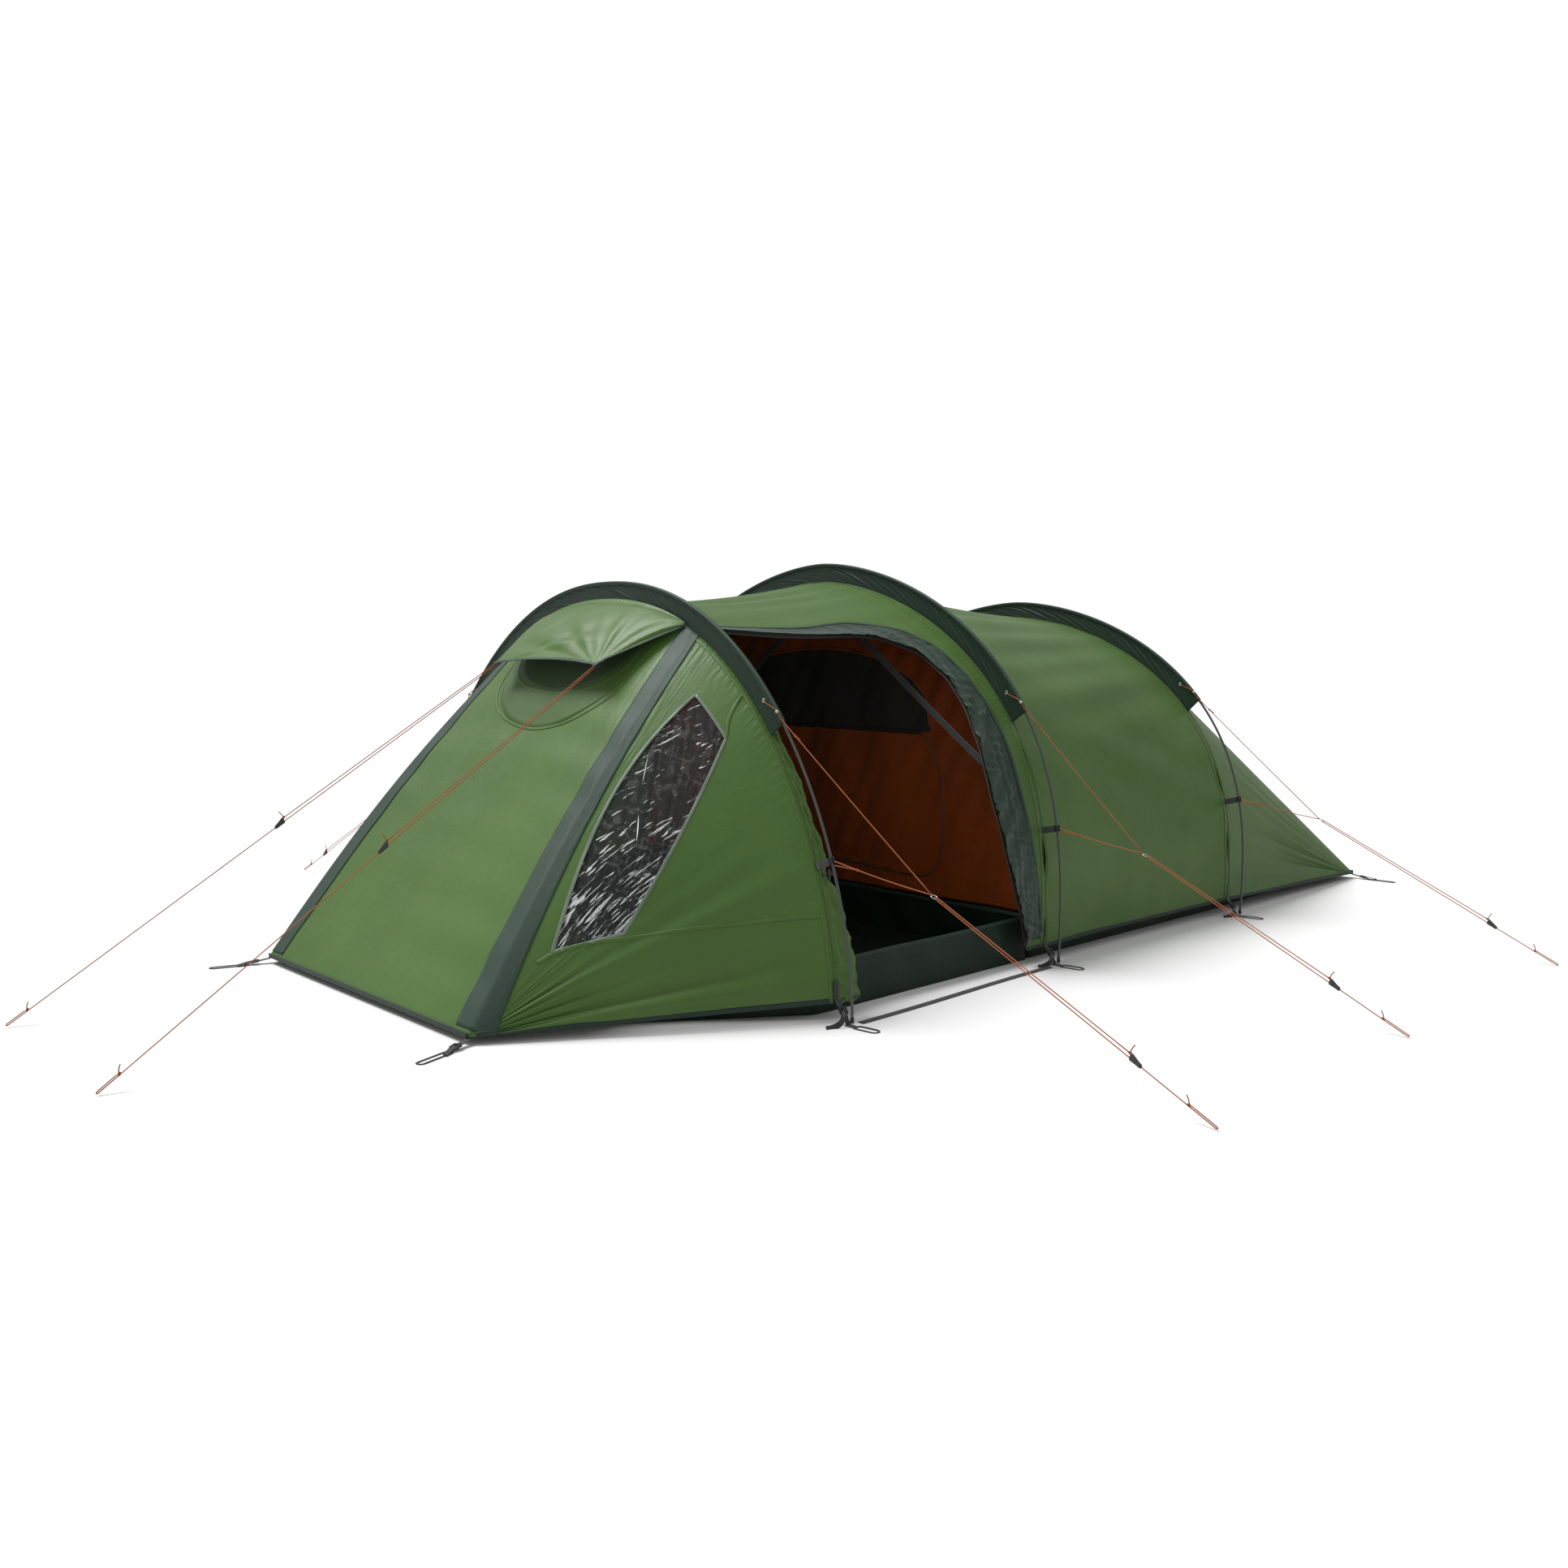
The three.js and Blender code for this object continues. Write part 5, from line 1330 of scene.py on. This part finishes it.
seam_line("inner_mesh_base_binding", wall, base_line[2:-2:8], 0.016, 0.0016, band_cloth, 120)
ZIP_CURVE = [(0.545, 0.728), (0.612, 0.640), (0.650, 0.500), (0.658, 0.360), (0.636, 0.270), (0.575, 0.228),
             (0.460, 0.224), (0.280, 0.232), (0.000, 0.236), (-0.420, 0.234)]
zip_cloth = fabric("inner_zip_cloth", (0.22, 0.060, 0.010), (0.17, 0.045, 0.008), 0.5, 0.8)
seam_line("inner_door_zip", wall, ZIP_CURVE, 0.015, 0.0030, zip_cloth, 300)
seam_line("inner_wall_side_seam", wall, [(0.610, 0.735), (0.800, 0.735), (0.930, 0.700)], 0.011, 0.0016, inner_cloth)
slider("inner_zip_slider", (1, 0, 0), (0, -1, 0))

BRACE_BACK = -0.305
for name, start, end in (("near", (0.405, 1.092), (0.993, 0.655)), ("far", (0.050, 1.100), (-0.720, 0.512))):
    t = np.linspace(0, 1, 30)[:, None]
    run = mix(np.array([start[0], BRACE_BACK, start[1]]), np.array([end[0], BRACE_BACK, end[1]]), t)
    run = run - np.array([0, 0, 0.006]) * 4 * t * (1 - t)
    ribbon(f"brace_band_{name}", run, 0.024, (0, 1, 0))

# ---- Feet, corner loops, pole tabs and ground strap ----
# Grey polyester webbing. Each foot has a pin for the pole on a pad, a loop for the peg, and a strap with a
# ladder-lock buckle up to the fly's hem. The corners of the fly have shorter straps to their peg loops.

steel, tree, bsdf = shader("foot_pin_steel", (0.50, 0.51, 0.52), 0.3, Metallic=1.0)
scuff = noise(tree, stretched(tree, 1, 1, 1, "Object"), 300.0, 3.0)
tree.links.new(ramp(tree, scuff, 0.3, 0.7, 0.22, 0.42), bsdf.inputs["Roughness"])
BUCKLE_WIDTH = 0.026
BUCKLE_LENGTH = 0.024
LOOP_WEBBING = 0.007
STRAP_WEBBING = 0.019


def racetrack(length, width):
    """A closed line round two half circles, from the near end."""
    radius = width / 2
    arc = np.linspace(-pi / 2, pi / 2, 16)
    far_end = np.stack([length - radius + radius * np.cos(arc), radius * np.sin(arc)], axis=-1)
    near_end = np.stack([radius - radius * np.cos(arc), -radius * np.sin(arc)], axis=-1)
    loop = np.concatenate([far_end, near_end])
    return np.concatenate([loop, loop[:1]])


def peg_loop(name, start, direction, length, width, twist):
    """A loop of narrow webbing for a peg, lying on the ground, with a little lift and twist in it."""
    direction = unit(np.array([direction[0], direction[1], 0.0]))
    across = np.array([-direction[1], direction[0], 0.0])
    loop = racetrack(length, width - LOOP_WEBBING)
    height = 0.0014 + twist * np.sin(pi * loop[:, 0] / length) ** 2 * (1 + np.sign(loop[:, 1]) * 0.6)
    path = start * (1, 1, 0) + loop[:, :1] * direction + loop[:, 1:] * across + height[:, None] * UP
    ribbon(name, path, LOOP_WEBBING, (0.001, 0.002, 1), thickness=0.0020)


def ladder_lock(name, centre, along, outwards):
    """A moulded buckle: a rounded frame with a bar across its middle and a lip."""
    along, outwards = unit(along), unit(outwards)
    across = np.cross(outwards, along)
    corner = np.linspace(0, 2 * pi, 49)
    x = rounded(np.cos(corner), 0.35) * BUCKLE_LENGTH / 2
    y = rounded(np.sin(corner), 0.35) * BUCKLE_WIDTH / 2
    frame_path = centre + x[:, None] * along + y[:, None] * across
    rod(f"{name}_frame", frame_path, flat_profile(0.0036, 0.0048), moulded, outwards)
    for k, shift in enumerate((-0.003, 0.008)):
        t = np.linspace(-1, 1, 9)[:, None]
        bar_path = centre + shift * along + t * (BUCKLE_WIDTH / 2) * across + 0.0012 * outwards * (1 - t**2)
        rod(f"{name}_bar_{k}", bar_path, flat_profile(0.0040, 0.0036), moulded, outwards)


for hoop in ("front", "middle", "rear"):
    foot = hoop_at(hoop, hoop_share(hoop, POLE_FOOT))
    hem_point = hoop_at(hoop, hoop_share(hoop, HEM + 0.004, FIN), FIN)
    clip_at = hoop_at(hoop, hoop_share(hoop, TAB_HEIGHT))
    away = hoop_outward(hoop, hoop_share(hoop, TAB_HEIGHT))
    for side_name, side in (("door_side", 1), ("far_side", -1)):
        flip = np.array([side, 1, 1])
        name = f"foot_{hoop}_{side_name}"
        base = foot * flip
        pin = base * (1, 1, 0) + np.linspace(0.0005, POLE_FOOT + 0.004, 8)[:, None] * UP
        rod(f"{name}_pin", pin, round_profile(0.003, 14), steel, (0, 1, 0))
        t = np.linspace(0, 1, 12)
        sleeve_end = base + (t[:, None] * 0.016 - 0.001) * unit(np.array([-0.06 * side, 0.05, 1.0]))
        shape = round_profile(1, 16)[None] * (0.0062 - 0.0012 * t**3)[:, None, None]
        rod(f"{name}_ferrule", sleeve_end, shape, moulded, (0, 1, 0))
        pad = base * (1, 1, 0) + np.linspace(-0.019, 0.019, 9)[:, None] * np.array([side, 0, 0]) + 0.0016 * UP
        ribbon(f"{name}_pad", pad, 0.022, (0.001, 0.001, 1), node=name)
        peg_loop(f"{name}_loop", base + np.array([side * 0.010, 0, 0]), (side, 0.12), 0.080, 0.034, twist=0.003)
        low = np.array([base[0] - 0.014 * side, base[1], 0.004])
        high = np.array([side * (hem_point[0] + 0.004), hem_point[1], HEM + 0.012])
        high_up = high + 0.050 * unit(np.array([-0.10 * side, 0.06, 1.0]))
        lean = np.array([side, 0, 0.6])
        strap = smooth([low, mix(low, high, 0.5) + 0.001 * lean, high, high_up], 30)
        ribbon(f"{name}_strap", strap, STRAP_WEBBING, lean)
        ladder_lock(f"{name}_buckle", mix(low, high, 0.52) + 0.003 * unit(lean), high - low, lean)
        curl = mix(low, high, 0.45) + 0.004 * unit(lean)
        tail_path = smooth([curl, curl + (side * 0.012, -0.014, -0.004), curl + (side * 0.020, -0.034, -0.020),
                            (curl + (side * 0.010, -0.056, 0)) * (1, 1, 0) + 0.003 * UP,
                            (curl + (side * 0.004, -0.074, 0)) * (1, 1, 0) + 0.002 * UP], 26)
        ribbon(f"{name}_tail", tail_path, 0.017, (side * 1.0, 0.2, 0.5))

        name = f"pole_tab_{hoop}_{side_name}"
        outwards = away * flip
        pole = clip_at * flip
        tangent = np.cross(outwards, hoop_square(hoop))
        tab = pole - outwards * np.linspace(FIN - 0.002, 0.008, 8)[:, None]
        ribbon(f"{name}_webbing", tab, 0.022, np.cross(outwards, tangent), node=name)
        ring_angle = np.linspace(0.35, 2 * pi - 0.35, 40)[:, None] + pi
        ring_path = pole + 0.0076 * (-np.cos(ring_angle) * outwards + np.sin(ring_angle) * hoop_square(hoop))
        rod(f"{name}_clip", ring_path, flat_profile(0.0028, 0.021), moulded, tangent)

for end_name, corner, outwards in (("porch", PORCH_CORNER, (0.33, -1, 0)), ("tail", TAIL_CORNER, (1, 0.06, 0))):
    for side_name, side in (("door_side", 1), ("far_side", -1)):
        name = f"corner_loop_{end_name}_{side_name}"
        flip = np.array([side, 1, 1])
        heading = unit(np.array(outwards, float)) * flip
        start = (np.array(corner) * flip + 0.004 * heading) * (1, 1, 0) + (corner[2] - 0.006) * UP
        end = (start + 0.074 * heading) * (1, 1, 0) + 0.0020 * UP
        back = start - 0.060 * heading + 0.016 * UP
        strap = smooth([back, start, mix(start, end, 0.5) + 0.001 * UP, end], 24)
        ribbon(f"{name}_strap", strap, STRAP_WEBBING, UP, node=name)
        ladder_lock(f"{name}_buckle", mix(start, end, 0.55) + 0.002 * UP, end - start, UP)
        peg_loop(f"{name}_loop", end - 0.014 * heading, heading, 0.118, 0.030, twist=0.004)
        sideways = np.cross(UP, heading)
        free = smooth([mix(start, end, 0.6) + 0.004 * UP, mix(start, end, 0.9) + 0.006 * UP + 0.006 * sideways,
                       mix(start, end, 1.3) * (1, 1, 0) + 0.004 * UP + 0.014 * sideways], 18)
        ribbon(f"{name}_tail", free, 0.014, UP + 0.3 * sideways)

ends = [hoop_at(h, hoop_share(h, POLE_FOOT)) * (1, 1, 0) for h in ("front", "middle")]
run = unit(ends[1] - ends[0])
t = np.linspace(0, 1, 60)[:, None]
strap = mix(ends[0] + 0.041 * run, ends[1] - 0.041 * run, t) + (-0.006, 0, 0.0014)
strap = strap + np.array([1.0, 0, 0]) * 0.003 * np.sin(2 * pi * t)
ribbon("ground_strap_webbing", strap, 0.024, (0.001, 0.001, 1), node="ground_strap")

# ---- Floor and light ----
# A plain white studio floor under a broad soft sun, high above the far side. The sky looks white, and lights the tent
# at a little under half that strength.

FLOOR_HALF = 60.0
SKY_SEEN = 1.05
SKY_LIGHT = 0.45

floor_material, tree, bsdf = shader("studio_floor", (0.95, 0.95, 0.95), 0.9)
seen = put(tree, "ShaderNodeLightPath").outputs["Is Camera Ray"]
tree.links.new(tinted(tree, seen, (0.62, 0.62, 0.62), (0.95, 0.95, 0.95)), bsdf.inputs["Base Color"])
floor = surface("studio_floor", FLOOR_HALF * np.array([[[-1.0, -1, 0], [-1, 1, 0]], [[1, -1, 0], [1, 1, 0]]]))
floor.data.materials.append(floor_material)

sky = bpy.data.worlds.new("sky")
sky.use_nodes = True
background = sky.node_tree.nodes["Background"]
background.inputs["Color"].default_value = (1, 1, 1, 1)
seen = put(sky.node_tree, "ShaderNodeLightPath").outputs["Is Camera Ray"]
sky.node_tree.links.new(sums(sky.node_tree, "MULTIPLY_ADD", seen, SKY_SEEN - SKY_LIGHT, SKY_LIGHT),
                        background.inputs["Strength"])
bpy.context.scene.world = sky
bpy.context.scene.view_settings.view_transform = "Standard"

sun = bpy.data.objects.new("sun", bpy.data.lights.new("sun", "SUN"))
sun.data.energy = 2.72
sun.data.angle = radians(30)
sun.rotation_euler = (radians(30), 0, radians(-68))
bpy.context.collection.objects.link(sun)
